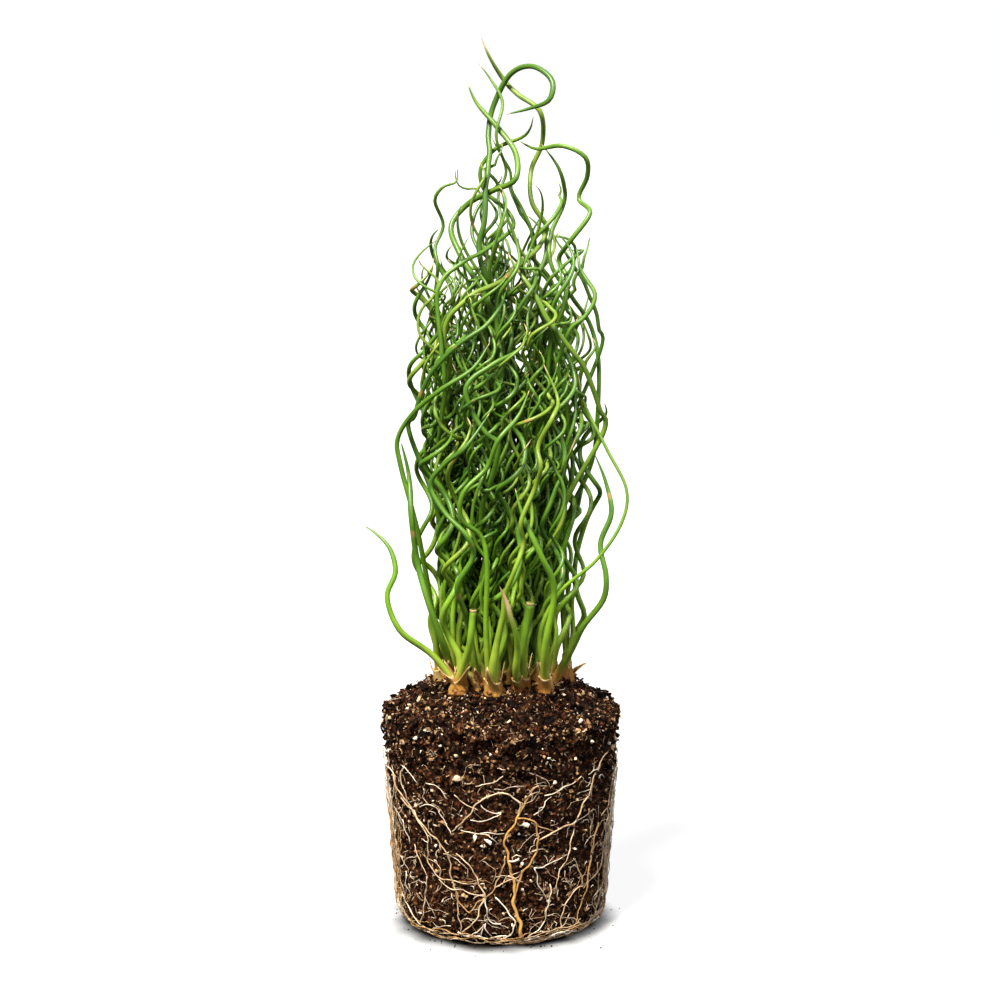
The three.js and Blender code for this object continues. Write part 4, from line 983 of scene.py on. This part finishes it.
def stem_tube(stem, tone, sides):
    """One stem as a tube, with its growth at each vertex: height above its foot, distance from its tip as a
    share of the dry part's length, and tone; and how far inside the clump the vertex is, for painted shade
    there. Every tip has dried for about 2 mm, and yellower ones for more."""
    dry = 1.8 + 5 * max(0, tone - 0.6) / 0.4
    tone, dry, _ = stem.look or (tone, dry, 0)
    vertices, faces, skin = tube(stem.line, round_radii(stem), sides)
    from_foot = np.maximum(skin[:, 2] - STEM_STARTS_BELOW, 0)
    from_tip = np.full(len(skin), NO_TIP) if stem.cut else (skin[:, 2].max() - skin[:, 2]) / dry
    growth = np.stack([from_foot, from_tip, np.full(len(skin), tone)], axis=1)
    # painted shade: stems near the middle of the clump, below SHADE_TOP, are darkened in their colour
    inside = np.clip(1.25 - np.hypot(vertices[:, 0], vertices[:, 1]) / SHADE_RADIUS, 0, 1)
    inside = inside * np.clip((SHADE_TOP - vertices[:, 2]) / SHADE_FADE, 0, 1)
    return vertices, faces, skin, growth, inside


def make_stems(stems, rng):
    """Each tuft's stems as one piece, and the slender and young stems as two more."""
    extra = [stem for stem in stems if stem.tuft >= EXTRA]
    groups = []
    for k in range(TUFTS):
        node = f"tuft_{k + 1:02d}"
        groups.append((f"{node}_stems", [stem for stem in stems if stem.tuft == k], STEM_SIDES, [node]))
    groups.append(("slender_stems", extra[:THIN_STEMS], THIN_SIDES, []))
    groups.append(("young_shoots", extra[THIN_STEMS:], THIN_SIDES, []))
    material = rush_stem()
    for name, own, sides, replaced in groups:
        parts = [stem_tube(stem, rng.random(), sides) for stem in own]
        add_parts(name, parts, ["skin", "growth", "inside"], material, "rush_stem", replaced)


def make_cut_ends(stems):
    """A dry disc on the end of each stem that was cut off: a short tube that swells to a rim and sinks
    inside."""
    parts = []
    for stem in stems:
        if stem.cut:
            along = unit(stem.line[-1] - stem.line[-2])
            line = stem.line[-1] + CUT_END[:, :1] * along
            parts.append(tube(line, round_radii(stem)[-1] * CUT_END[:, 1], CUT_SIDES))
    add_parts("cut_stem_ends", parts, ["skin"], pith(), "rush_stem")


def make_rhizomes(tufts, rng):
    """A lumpy knob at the foot of each tuft: a flattened ball, in and out by noise, mostly sunk in the
    soil."""
    height = np.sin(np.linspace(-1.3, 1.3, KNOB_RINGS))
    ball = turned_grid(np.sqrt(1 - height ** 2), height, KNOB_SIDES).reshape(-1, 3)
    ball = np.concatenate([ball, [(0, 0, -1), (0, 0, 1)]]) * (KNOB_RADIUS, KNOB_RADIUS, KNOB_HALF_HEIGHT)
    parts = []
    for x, y in tufts:
        swell = 0.8 + 0.45 * soft_noise(ball + rng.random(3) * 50, 1.7, 5)[:, None]
        parts.append((ball * swell + (x, y, CROWN_HEIGHT - 0.4), tube_faces(KNOB_RINGS, KNOB_SIDES)))
    add_parts("rhizome_knobs", parts, [], rhizome_skin(), "rush_stem")


def sheet(grid, thickness, skin, tone, edge):
    """A thin closed shell on a grid of points (rows, columns, 3): the grid, the same grid set back along its
    normals, and a strip round the edge between them. Both sides take the values that belong to the grid."""
    rows, columns = grid.shape[:2]
    normal = unit(np.cross(np.gradient(grid, axis=1), np.gradient(grid, axis=0)))
    vertices = np.concatenate([grid.reshape(-1, 3), (grid - normal * thickness).reshape(-1, 3)])
    index = np.arange(rows * columns).reshape(rows, columns)
    a, b = index[:-1, :-1].ravel(), index[:-1, 1:].ravel()
    c, d = index[1:, 1:].ravel(), index[1:, :-1].ravel()
    front = np.concatenate([np.stack([a, b, c], 1), np.stack([a, c, d], 1)])
    back = front[:, ::-1] + rows * columns
    rim = np.concatenate([index[0], index[1:, -1], index[-1, -2::-1], index[-2:0:-1, 0]])
    after = np.roll(rim, -1)
    far, far_after = rim + rows * columns, after + rows * columns
    strip = np.concatenate([np.stack([rim, far, after], 1), np.stack([after, far, far_after], 1)])
    skin = np.tile(np.stack(skin, axis=2).reshape(-1, 3), (2, 1))
    faces = np.concatenate([front, back, strip])
    return vertices, faces, skin, np.full(len(vertices), tone), np.tile(edge.ravel(), 2)


def sleeve(stem, rng):
    """A sheath round the foot of a stem: a cup that hugs the swollen foot, low in front and drawn up to a
    point on either side, with an edge that stands a little away from the stem."""
    v, u = np.meshgrid(np.linspace(0, 1, 9), np.linspace(-1, 1, 25), indexing="ij")
    facing = math.atan2(stem.foot[1], stem.foot[0]) + rng.normal(0, 0.5)
    angle = facing + u * rng.uniform(2.6, 3.0)
    low = rng.uniform(3.2, 6.5)
    mouth = low + 0.25 * np.sin(7 * u + facing)
    for side in (-1, 1):
        rise = rng.uniform(1.0, 7.5)
        mouth = mouth + rise * np.exp(-((u - side * rng.uniform(0.45, 0.75)) / 0.17) ** 2)
    height = CROWN_HEIGHT - 2 + (mouth + 2) * v
    above = np.maximum(height - CROWN_HEIGHT, 0)
    x, y = (np.interp(height, stem.line[:, 2], stem.line[:, k]) for k in (0, 1))
    snug = np.interp(height, stem.line[:, 2], round_radii(stem))
    stand = 0.2 + 0.35 * np.exp(-(above / 2.5) ** 2) + 0.35 * v ** 6 + 0.14 * np.maximum(above - low, 0)
    radius = snug + stand + 0.08 * np.sin(6 * angle)
    across, beside = radius * np.cos(angle), radius * np.sin(angle)
    grid = np.stack([x + across, y + beside, height], axis=2)
    edge = np.maximum(v ** 5, np.abs(u) ** 8)
    return sheet(grid, SLEEVE_THICKNESS, (across, beside, above), rng.beta(1.8, 1.8), edge)


def loose_strip(foot, heading, rng):
    """A torn strip of sheath: a ribbon that leans out from its foot, bends over, narrows to a point, is
    hollow across, and twists a little."""
    rows = 11
    v, u = np.meshgrid(np.linspace(0, 1, rows), np.linspace(-1, 1, 5), indexing="ij")
    tall = rng.uniform(5, 12)
    tilt = rng.uniform(0.1, 0.7) + rng.uniform(-0.3, 1.2) * v
    half = rng.uniform(0.6, 1.3) * (1 - v ** 1.6) + 0.06
    out = tall * (np.cumsum(np.sin(tilt), axis=0) - np.sin(tilt)) / rows
    rise = tall * (np.cumsum(np.cos(tilt), axis=0) - np.cos(tilt)) / rows
    twist = rng.uniform(-1.6, 1.6) * v
    side = u * half
    hollow = 0.35 * half * u ** 2
    across = side * np.cos(twist)
    deep = out + side * np.sin(twist) - hollow
    x = foot[0] + deep * math.cos(heading) - across * math.sin(heading)
    y = foot[1] + deep * math.sin(heading) + across * math.cos(heading)
    grid = np.stack([x, y, CROWN_HEIGHT - 1 + rise], axis=2)
    edge = np.maximum(np.abs(u) ** 4, v ** 2)
    return sheet(grid, STRIP_THICKNESS, (side, hollow, rise), rng.beta(1.6, 1.4), edge)


def make_sheaths(grown, stems, rng):
    """A sleeve round most stems, a strip where the frame has a sheath, and more strips at the outer feet."""
    own = [stem for stem in stems if stem.tuft < EXTRA]
    parts = [sleeve(stem, rng) for stem in own if rng.random() < SLEEVED]
    parts += [loose_strip(stem.foot, stem.angle, rng) for stem in grown if stem.sheath]
    for stem in own:
        if math.hypot(*stem.foot) > OUTER_FEET and rng.random() < WITH_A_STRIP:
            heading = math.atan2(stem.foot[1], stem.foot[0]) + rng.uniform(-1.0, 1.0)
            parts.append(loose_strip(away_from(stem.foot, stem.thick * 1.7, heading), heading, rng))
    add_parts("basal_sheaths", parts, ["skin", "tone", "edge"], dry_sheath(), "rush_stem")


# ---- Soil ----

def wall_radius(z):
    """Radius of the ball's wall at a height, with no crumbs on it."""
    straight = BALL_FOOT_RADIUS + (BALL_TOP_RADIUS - BALL_FOOT_RADIUS) * z / BALL_HEIGHT
    low = np.maximum(0, 1 - z / FOOT_ROUNDING)
    high = np.maximum(0, 1 - (BALL_HEIGHT - z) / RIM_ROUNDING)
    inset = RIM_ROUNDING * RIM_INSET
    return straight - (BALL_FOOT_RADIUS - FOOT_FLAT_RADIUS) * low ** EDGE_CURVE - inset * high ** EDGE_CURVE


def on_wall(angle, z, out):
    """The point this far out from the ball's plain wall, at an angle from the front towards +X and a
    height."""
    radius = wall_radius(z) + out
    return np.stack([radius * np.sin(angle), -radius * np.cos(angle), z], axis=-1)


def mound_height(radius):
    """Height of the soil's heaped top at a distance from the middle, with no crumbs on it."""
    return BALL_HEIGHT + MOUND_RISE * (1 - np.minimum(1, radius / MOUND_RADIUS) ** 4)


def soil_surface():
    """The column of soil: the ball's outline turned about its axis, with clods of two sizes, slow swells and
    fine crumbs raised along its normals, the coarser ones most where the soil is loose, at the top. Has the
    grid's points and outward normals, the two poles, how far each point is raised (0 in the gaps to 1 on the
    clods), and each point's distance from the axis and whether it lies on the top or on the side."""
    foot = np.linspace(0, wall_radius(0), 8)[1:-1]
    wall = np.concatenate([
        np.linspace(0, FOOT_ROUNDING, 13)[:-1], np.linspace(FOOT_ROUNDING, CLOSE_ROWS_FROM, 96)[:-1],
        np.linspace(CLOSE_ROWS_FROM, BALL_HEIGHT, 12)])
    top = np.linspace(wall_radius(BALL_HEIGHT), 0, 58)[1:-1]
    radius = np.concatenate([foot, wall_radius(wall), top])
    height = np.concatenate([np.zeros(len(foot)), wall, mound_height(top)])
    slope = unit(np.stack([np.gradient(height), -np.gradient(radius)], axis=1))
    points = turned_grid(radius, height, SHELL_COLUMNS)
    normals = turned_grid(slope[:, 0], slope[:, 1], SHELL_COLUMNS)
    flat = points.reshape(-1, 3)
    coarse = (3.3 * (crumb_noise(flat, 4.8, 11) - 0.45) + 1.8 * (crumb_noise(flat, 2.5, 19) - 0.45)
              + 1.6 * (soft_noise(flat, 11, 31) - 0.5))
    fine = 1.2 * (crumb_noise(flat, 1.5, 23) - 0.4) + 1.0 * (soft_noise(flat, 1.0, 37) - 0.5)
    loose = np.clip((height - LOOSE_FROM) / LOOSE_OVER, LEAST_LOOSE, MOST_LOOSE)[:, None]
    relief = (coarse.reshape(points.shape[:2]) - RELIEF_SINK) * loose + fine.reshape(points.shape[:2])
    relief *= np.clip(height / FOOT_ROUNDING, 0, 1)[:, None]
    points = points + normals * relief[..., None]
    radius = np.hypot(points[..., 0], points[..., 1])
    top = (points[..., 2] > BALL_HEIGHT - 2) & (radius < wall_radius(BALL_HEIGHT) + 1)
    return SimpleNamespace(
        points=points, normals=normals, poles=np.array([(0, 0, 0), (0, 0, BALL_HEIGHT + MOUND_RISE)]),
        raised=np.clip(relief.ravel() / RELIEF_DEPTH + 1, 0, 1), radius=radius, top=top,
        side=~top & (points[..., 2] > 1.5))


def icosahedron():
    """Its corners, on the unit ball, are the cyclic turns of (0, 1, golden ratio), and its faces each three
    of them that lie one edge (2, before they are brought to the ball) apart."""
    golden = (1 + math.sqrt(5)) / 2
    corners = []
    for a in (-1, 1):
        for b in (-golden, golden):
            corners += [(0, a, b), (a, b, 0), (b, 0, a)]
    corners = np.array(corners, float)
    edge = np.linalg.norm(corners[:, None] - corners[None], axis=2) < 2.1
    faces = []
    for i, j, k in ((i, j, k) for i in range(LUMP_CORNERS) for j in range(i) for k in range(j)):
        if edge[i, j] and edge[j, k] and edge[i, k]:
            outward = np.cross(corners[j] - corners[i], corners[k] - corners[i]) @ corners[i] > 0
            faces.append((i, j, k) if outward else (i, k, j))
    return unit(corners), np.array(faces)


def turned(count, rng):
    """Random rotation matrices, from random unit quaternions."""
    w, x, y, z = unit(rng.normal(size=(count, 4))).T
    rows = [[1 - 2 * (y * y + z * z), 2 * (x * y - z * w), 2 * (x * z + y * w)],
            [2 * (x * y + z * w), 1 - 2 * (x * x + z * z), 2 * (y * z - x * w)],
            [2 * (x * z - y * w), 2 * (y * z + x * w), 1 - 2 * (x * x + y * y)]]
    return np.moveaxis(np.array(rows), 2, 0)


def lumps(centres, sizes, stretch, rng):
    """Chunky grains: icosahedra whose corners are pulled in or out at random, stretched, turned, and set at
    their centres. Returns vertices and triangles."""
    corners, faces = icosahedron()
    count = len(centres)
    shape = corners[None] * rng.uniform(1 - LUMP_UNREST, 1 + LUMP_UNREST, (count, LUMP_CORNERS, 1))
    shape = shape * sizes[:, None, None] * stretch[:, None, :]
    shape = np.einsum("nij,nkj->nki", turned(count, rng), shape) + centres[:, None]
    index = faces[None] + LUMP_CORNERS * np.arange(count)[:, None, None]
    return shape.reshape(-1, 3), index.reshape(-1, 3)


def scattered(soil, chance, count, rng):
    """Random places on the soil's surface, more where the chance is higher, with the normal and the share of
    the relief at each."""
    chance = chance.ravel() / chance.sum()
    chosen = rng.choice(chance.size, count, p=chance)
    places = soil.points.reshape(-1, 3)[chosen] + rng.normal(size=(count, 3)) * STRAY
    return places, soil.normals.reshape(-1, 3)[chosen], soil.raised[chosen]


def patchy_with_painted_shade(places, tone):
    """Tones made darker or lighter in patches of a few millimetres, and darkened down between the clods as
    painted shade.
    """
    patch = 0.6 * soft_noise(places[0], 7, 61) + 0.4 * soft_noise(places[0], 3, 67)
    # painted shade: places[2] is how far each place is raised, so tones fall down between the clods
    return np.clip(tone * np.clip(4.6 * (patch - 0.3), 0.05, 2.0) * (0.12 + 1.1 * places[2]), 0, 1)


def sizes_about(middle, spread, least, most, count, rng):
    """Sizes whose logarithms scatter about a middle one, kept between the least and the most."""
    return np.clip(rng.lognormal(middle, spread, count), least, most)


def soil_lumps(name, material, places, sizes, stretch, sunk, tone, rng):
    """Grains on the soil's surface, each sunk by its share of its size, with a tone of its own."""
    centres, out, _ = places
    centres = centres - out * (sizes * sunk)[:, None]
    centres[:, 2] = np.maximum(centres[:, 2], sizes * stretch.max(axis=1) + 0.3)
    vertices, faces = lumps(centres, sizes, stretch, rng)
    tone = np.repeat(tone, LUMP_CORNERS)
    add_piece(name, vertices, faces, material, "potting_soil", smooth=False, tone=tone)


def make_soil_body(soil):
    """The column itself, with painted shade: darker down between the clods."""
    vertices = np.concatenate([soil.points.reshape(-1, 3), soil.poles])
    # painted shade: the tone falls where a point is little raised, down between the clods
    tone = 0.15 + 0.8 * np.append(soil.raised, (0, 0)) * soft_noise(vertices, 1.2, 41) ** 1.5
    faces = tube_faces(len(soil.points), SHELL_COLUMNS)
    add_piece("soil_body", vertices, faces, damp_compost("damp_compost"), "potting_soil", ["soil"], tone=tone)


def make_crumbs(soil, rim, rng):
    """Crumbs on the wall and on the top, and slivers of bark, which are long, narrow and thin."""
    crumbs = damp_compost("damp_compost_crumbs")
    places = scattered(soil, soil.radius * soil.side, WALL_CRUMBS, rng)
    loose = np.clip((places[0][:, 2] - 50) / 25, 0, 1)
    sizes = np.clip(rng.lognormal(-1.0, 0.5, WALL_CRUMBS) * (1 + 0.6 * loose), 0.15, 1.9)
    tone = np.maximum(patchy_with_painted_shade(places, rng.beta(0.9, 2.4, WALL_CRUMBS)),
                      (1 - loose) * rng.uniform(0.2, 0.56, WALL_CRUMBS))
    soil_lumps("wall_crumbs", crumbs, places, sizes, rng.uniform(0.3, 1.4, (WALL_CRUMBS, 3)),
               rng.uniform(-0.3, 0.6, WALL_CRUMBS), tone, rng)
    places = scattered(soil, soil.radius * soil.top, TOP_CRUMBS, rng)
    sizes = sizes_about(-0.75, 0.6, 0.2, 2.3, TOP_CRUMBS, rng)
    soil_lumps("top_crumbs", crumbs, places, sizes, rng.uniform(0.3, 1.4, (TOP_CRUMBS, 3)),
               rng.uniform(-0.6, 0.4, TOP_CRUMBS), patchy_with_painted_shade(places, rng.beta(0.9, 2.4, TOP_CRUMBS)), rng)
    places = scattered(soil, soil.radius * rim * (soil.top * 1.5 + soil.side), BARK_SLIVERS, rng)
    stretch = np.stack([np.ones(BARK_SLIVERS), rng.uniform(0.15, 0.5, BARK_SLIVERS),
                        rng.uniform(0.1, 0.3, BARK_SLIVERS)], axis=1)
    sizes = sizes_about(-0.25, 0.4, 0.35, 1.6, BARK_SLIVERS, rng)
    soil_lumps("bark_slivers", crumbs, places, sizes, stretch, rng.uniform(-0.7, 0.0, BARK_SLIVERS),
               patchy_with_painted_shade(places, rng.uniform(0.25, 1.0, BARK_SLIVERS)), rng)


def make_pale_grains(soil, rim, rng):
    """Pale flecks, and grains of perlite: scattered ones, most of them at half height, and the larger ones in
    front, each at its own spot."""
    mineral = perlite()
    places = scattered(soil, soil.radius * rim * (soil.top + soil.side), PALE_FLECKS, rng)
    sizes = sizes_about(-1.15, 0.5, 0.13, 0.95, PALE_FLECKS, rng)
    soil_lumps("pale_flecks", mineral, places, sizes, rng.uniform(0.2, 1.6, (PALE_FLECKS, 3)),
               np.full(PALE_FLECKS, -0.5), rng.beta(1.2, 1.4, PALE_FLECKS), rng)
    half_height = np.abs(soil.points[..., 2] - 38) < 22
    chance = soil.radius * (soil.top + soil.side * (0.5 + 0.5 * half_height))
    places = scattered(soil, chance, PERLITE_GRAINS, rng)
    sizes = sizes_about(-0.6, 0.45, 0.3, 1.3, PERLITE_GRAINS, rng)
    turn, height, size = np.array(PERLITE_SPOTS).T
    turn = np.radians(turn)
    outward = np.stack([np.sin(turn), -np.cos(turn), 0 * turn], axis=1)
    spots = on_wall(turn, height, 0.6)
    places = [np.concatenate([places[0], spots]), np.concatenate([places[1], outward]), None]
    sizes = np.concatenate([sizes, size])
    stretch = rng.uniform(0.45, 1.2, (len(sizes), 3))
    tone = np.append(rng.uniform(0.6, 1, PERLITE_GRAINS), np.ones(len(size)))
    soil_lumps("perlite_grains", mineral, places, sizes, stretch, np.full(len(sizes), -0.3), tone, rng)


def soil_fibres(soil, rng):
    """Wisps of peat fibre on the soil: thin threads that lie along it and bend, their ends a little off
    it."""
    parts = []
    centres, out, _ = scattered(soil, soil.radius * (soil.top * 1.6 + soil.side), SOIL_FIBRES, rng)
    along = unit(np.cross(out, rng.normal(size=out.shape)))
    beside = np.cross(out, along)
    t = np.linspace(-0.5, 0.5, 6)[:, None]
    for centre, away, one, two in zip(centres, out, along, beside):
        length = rng.uniform(0.8, 4.0)
        bend = rng.normal(0, 0.25) * t ** 2 + 0.04 * rng.normal(size=(6, 1))
        line = centre + length * (one * t + two * bend) + away * (0.3 + rng.uniform(0, 1.4) * t ** 2)
        line[:, 2] = np.maximum(line[:, 2], 0.4)
        radii = rng.uniform(0.04, 0.15) * (1 - 3 * t[:, 0] ** 2)
        parts.append(toned_tube(line, radii, 3, rng.beta(1.2, 1.6)))
    return parts


def make_soil(rng):
    """The soil's body and all that lies on it. The rim and the top have more bark and flecks than the
    wall."""
    soil = soil_surface()
    rim = np.clip((soil.points[..., 2] - 55) / 20, 0.3, 1)
    make_soil_body(soil)
    make_crumbs(soil, rim, rng)
    make_pale_grains(soil, rim, rng)
    add_parts("soil_fibres", soil_fibres(soil, rng), ["tone"], living_root("peat_fibre"), "potting_soil")


# ---- Roots ----

def root(way, radius, tone, rng, lift, taper=0.6, unrest=1.0, sides=5):
    """One root: a smooth line through its way (radians, height) on the wall, with small bends along the wall
    and in and out of the crumbs, narrower towards its end."""
    flat = smooth_line(way, 8)
    line = resampled(on_wall(flat[:, 0], flat[:, 1], lift), ROOT_STEP)
    length = path_length(line)
    angle, z = np.arctan2(line[:, 0], -line[:, 1]), line[:, 2]
    phase = rng.uniform(0, TURN, 5)
    ends = np.minimum(1, np.minimum(length, length[-1] - length) / 3)
    bend = 0.011 * np.sin(length / 2.1 + phase[0]) + 0.008 * np.sin(length / 0.9 + phase[1])
    angle = angle + ends * unrest * bend
    z = z + ends * unrest * 0.35 * np.sin(length / 1.7 + phase[2])
    depth = 0.45 * np.sin(length / 3.3 + phase[3]) + 0.25 * np.sin(length / 1.3 + phase[4])
    line = on_wall(angle, np.maximum(z, radius + 0.15), lift + radius * 0.3 + depth * (1 - min(radius, 0.8)))
    share = length / length[-1]
    radii = radius * (1 - taper * share) * (1 + 0.1 * np.sin(length / 1.1 + phase[1]))
    return toned_tube(line, np.maximum(radii, THINNEST_ROOT), sides, tone)


def front_roots(rng):
    """The roots of the front face, each through its own points. The thick one narrows most."""
    parts = []
    for radius, tone, way in FRONT_ROOTS:
        way = [(math.radians(angle), z) for angle, z in way]
        taper = 0.6 if radius > 1 else 0.35
        parts.append(root(way, radius * FRONT_ROOT_SHARE, tone, rng, 1.1, taper, 0.9, 6))
    return parts


def round_roots(rng):
    """Roots that run up the wall on the other sides, and the upright bundles on the two flanks."""
    parts = []
    first, last = math.radians(FRONT_ARC[1]), TURN + math.radians(FRONT_ARC[0])
    t = np.linspace(0, 1, 8)
    for k in range(ROUND_ROOTS + EDGE_ROOTS):
        flank = k >= ROUND_ROOTS
        tone = rng.uniform(0.3, 0.65) if flank else rng.beta(1.3, 2.8)
        foot = rng.uniform(first, last)
        if flank:
            foot = rng.choice([-1, -1, 1]) * rng.uniform(1.15, 1.7)
        low, high = rng.uniform(0.5, 12), rng.uniform(30, 69)
        lean = rng.normal(0, 0.08 if flank else 0.28)
        sway, phase = rng.uniform(0.02, 0.06), rng.uniform(0, TURN)
        angle = foot + lean * t + sway * np.sin(phase + 7 * t)
        way = np.stack([angle, low + (high - low) * t], axis=1)
        radius = rng.uniform(0.1, 0.24) if flank else rng.uniform(0.12, 0.36)
        parts.append(root(way, radius, tone, rng, rng.uniform(0.8, 1.6)))
    return parts


def rootlets(rng):
    """Short side roots all round: each leaves a random place at a slant, and bends to one side."""
    parts = []
    t = np.linspace(0, 1, 5)
    for _ in range(ROOTLETS):
        angle, z = rng.uniform(-math.pi, math.pi), 64 * rng.random() ** 1.15
        short = rng.random() < 0.45
        step = (rng.uniform(1.5, 5) if short else rng.uniform(4, 15)) * t
        slant, bend = rng.uniform(-1.6, 1.6), rng.uniform(-1.2, 1.2) * (2 if short else 1)
        course = slant + bend * t
        height = np.clip(z + step * np.cos(course) * 0.8, 0.8, 70)
        way = np.stack([angle + step * np.sin(course) / MEAN_RADIUS, height], axis=1)
        radius = rng.uniform(0.1, 0.26) if short else rng.uniform(0.06, 0.17)
        tone = rng.uniform(0, 0.2) if short else rng.beta(1.1, 3)
        parts.append(root(way, radius, tone, rng, rng.uniform(0.7, 1.4), 0.6, 1.3, 4))
    return parts


def foot_roots(rng):
    """The mat of roots wound round the foot: long arcs at a few millimetres' height, rising and falling."""
    parts = []
    t = np.linspace(0, 1, 12)
    for _ in range(FOOT_ARCS):
        start, span = rng.uniform(0, TURN), rng.uniform(0.4, 1.8)
        height, rise = rng.uniform(0.4, 5.0), rng.normal(0, 1.8)
        phase, waves = rng.uniform(0, TURN), rng.uniform(5, 14)
        z = np.clip(height + rise * t + 0.9 * np.sin(phase + waves * t), 0.5, 9)
        way = np.stack([start + span * t, z], axis=1)
        radius, tone, lift = rng.uniform(0.1, 0.38), rng.uniform(0, 0.85), rng.uniform(0.4, 2.4)
        parts.append(root(way, radius, tone, rng, lift, 0.4, 1.8))
    return parts


def root_hairs(rng):
    """Fuzz: short stiff root ends that stand out from the wall, most of them low down."""
    parts = []
    t = np.linspace(0, 1, 4)
    for _ in range(ROOT_HAIRS):
        angle = rng.uniform(-math.pi, math.pi)
        z = 60 * rng.random() ** 1.5 + 0.6
        length, drift = rng.uniform(0.8, 3.0), rng.normal(0, 0.9)
        line = on_wall(angle + drift * length * t / MEAN_RADIUS, z + rng.normal(0, 0.8) * length * t,
                       0.7 + length * 0.55 * t)
        line[:, 2] = np.maximum(line[:, 2], 0.3)
        radii = rng.uniform(0.06, 0.14) * (1 - 0.7 * t)
        parts.append(toned_tube(line, radii, 3, rng.beta(1.5, 3)))
    return parts


def make_roots(rng):
    """The net of roots on the ball, in four pieces: the front, the other sides, the fine ones and the
    foot."""
    material = living_root("living_root")
    add_parts("front_roots", front_roots(rng), ["tone"], material, "root", ["root_net"])
    for name, parts in (("round_roots", round_roots(rng)), ("fine_roots", rootlets(rng) + root_hairs(rng)),
                        ("foot_roots", foot_roots(rng))):
        add_parts(name, parts, ["tone"], material, "root")


# ---- Floor, light and camera ----

def set_down(name, vertices, faces, material):
    """A thing that belongs to the setting and not to the part, from vertices in millimetres and faces."""
    mesh = bpy.data.meshes.new(name)
    mesh.from_pydata((vertices * MM).tolist(), [], faces.tolist())
    mesh.materials.append(material)
    thing = in_scene(name, mesh)
    return thing


def white_board():
    """Matt white board that glows white all over, but for an uneven painted contact shadow under the ball's
    edge, where it is dark and doesn't glow."""
    material, tree = new_material(
        "matt_white_board", Roughness=0.9, Specular_IOR_Level=0.1, Emission_Color=(1, 1, 1, 1))
    spot = add_node(tree, "TexCoord", out="Object")
    away = add_node(tree, "VectorMath", {0: spot}, out="Value", operation="LENGTH")
    uneven = add_node(tree, "TexNoise", {"Vector": spot, "Scale": 0.06 / MM, "Detail": 1.0})
    away = add_node(tree, "Math", {0: uneven, 1: 10 * MM, 2: away}, operation="MULTIPLY_ADD")
    # painted contact shadow: near black and without glow close to the ball's edge, white and glowing further
    # out
    outside_painted_shadow = add_node(tree, "MapRange", {0: away, 1: 38 * MM, 2: 52 * MM}, interpolation_type="SMOOTHSTEP")
    board = add_node(tree, "Mix", {0: outside_painted_shadow, 6: paint("#1c1a18"), 7: paint("#7c7c7c")}, 2, data_type="RGBA")
    glow = add_node(tree, "Math", {0: outside_painted_shadow, 1: 0.8}, operation="MULTIPLY")
    return connected(material, Base_Color=board, Emission_Strength=glow)


def make_floor():
    """A white floor with a painted contact shadow round the ball, far wider than the plant, that throws no
    light back at it.
    """
    corners = FLOOR_REACH * np.array([(-1, -1, 0), (1, -1, 0), (1, 1, 0), (-1, 1, 0)])
    floor = set_down("floor", corners, np.array([(0, 1, 2, 3)]), white_board())
    floor.visible_diffuse = False
    floor.visible_glossy = False


def fallen_crumbs(rng):
    """Crumbs of soil that have dropped on the floor round the foot."""
    angle = rng.uniform(0, TURN, FALLEN_CRUMBS)
    radius = 36 + rng.exponential(4, FALLEN_CRUMBS)
    sizes = sizes_about(-1.3, 0.5, 0.1, 0.7, FALLEN_CRUMBS, rng)
    centres = np.stack([radius * np.cos(angle), radius * np.sin(angle), 0.6 * sizes], axis=1)
    vertices, faces = lumps(centres, sizes, rng.uniform(0.3, 0.9, (FALLEN_CRUMBS, 3)), rng)
    vertices[:, 2] = np.maximum(vertices[:, 2], 0.02)
    set_down("fallen_crumbs", vertices, faces, damp_compost("fallen_compost"))


def make_room():
    """A white room that lights the plant from the height of the horizon and dimly from above and below. The
    camera sees it plain white."""
    world = bpy.data.worlds.new("white_room")
    world.use_nodes = True
    tree = world.node_tree
    spot = add_node(tree, "TexCoord", out="Generated")
    up = add_node(tree, "SeparateXYZ", {0: spot}, 2)
    steep = add_node(tree, "Math", {0: up}, operation="ABSOLUTE")
    glow = add_node(tree, "MapRange", {0: steep, 1: 0.06, 2: 0.12, 3: 1.02, 4: 0.11})
    seen = add_node(tree, "LightPath", out="Is Camera Ray")
    glow = add_node(tree, "Math", {0: glow, 1: seen}, operation="MAXIMUM")
    tree.links.new(glow, tree.nodes["Background"].inputs["Strength"])
    tree.nodes["Background"].inputs["Color"].default_value = (1, 1, 1, 1)
    bpy.context.scene.world = world
    bpy.context.scene.view_settings.view_transform = "Standard"


def make_suns():
    """Far, wide lights, so they fall evenly: a strong one from the front left and above, and weaker ones from
    the right and from behind."""
    for name, bearing, height, power, width, colour in SUNS:
        light = bpy.data.lights.new(name, "SUN")
        light.energy = power
        light.angle = math.radians(width)
        light.color = paint(colour)[:3]
        in_scene(name, light).rotation_euler = (math.radians(90 - height), 0, math.radians(bearing))


def make_camera():
    """Straight in front, a little above, looking slightly down, through a long lens."""
    camera = bpy.data.cameras.new("camera")
    camera.sensor_width = SENSOR_WIDTH
    camera.lens = LENS
    camera.shift_x = LENS_SHIFT
    view = in_scene("camera", camera)
    view.location = (0, -CAMERA_DISTANCE * MM, CAMERA_HEIGHT * MM)
    view.rotation_euler = (math.radians(90 - CAMERA_DIP), 0, 0)
    bpy.context.scene.camera = view


# ---- The plant on its floor ----

rng = np.random.default_rng(SEED)
tufts, grown, stems = grow_clump()
make_stems(stems, rng)
make_cut_ends(stems)
make_rhizomes(tufts, rng)
make_sheaths(grown, stems, rng)
make_soil(rng)
make_roots(rng)
make_floor()
fallen_crumbs(rng)
make_room()
make_suns()
make_camera()
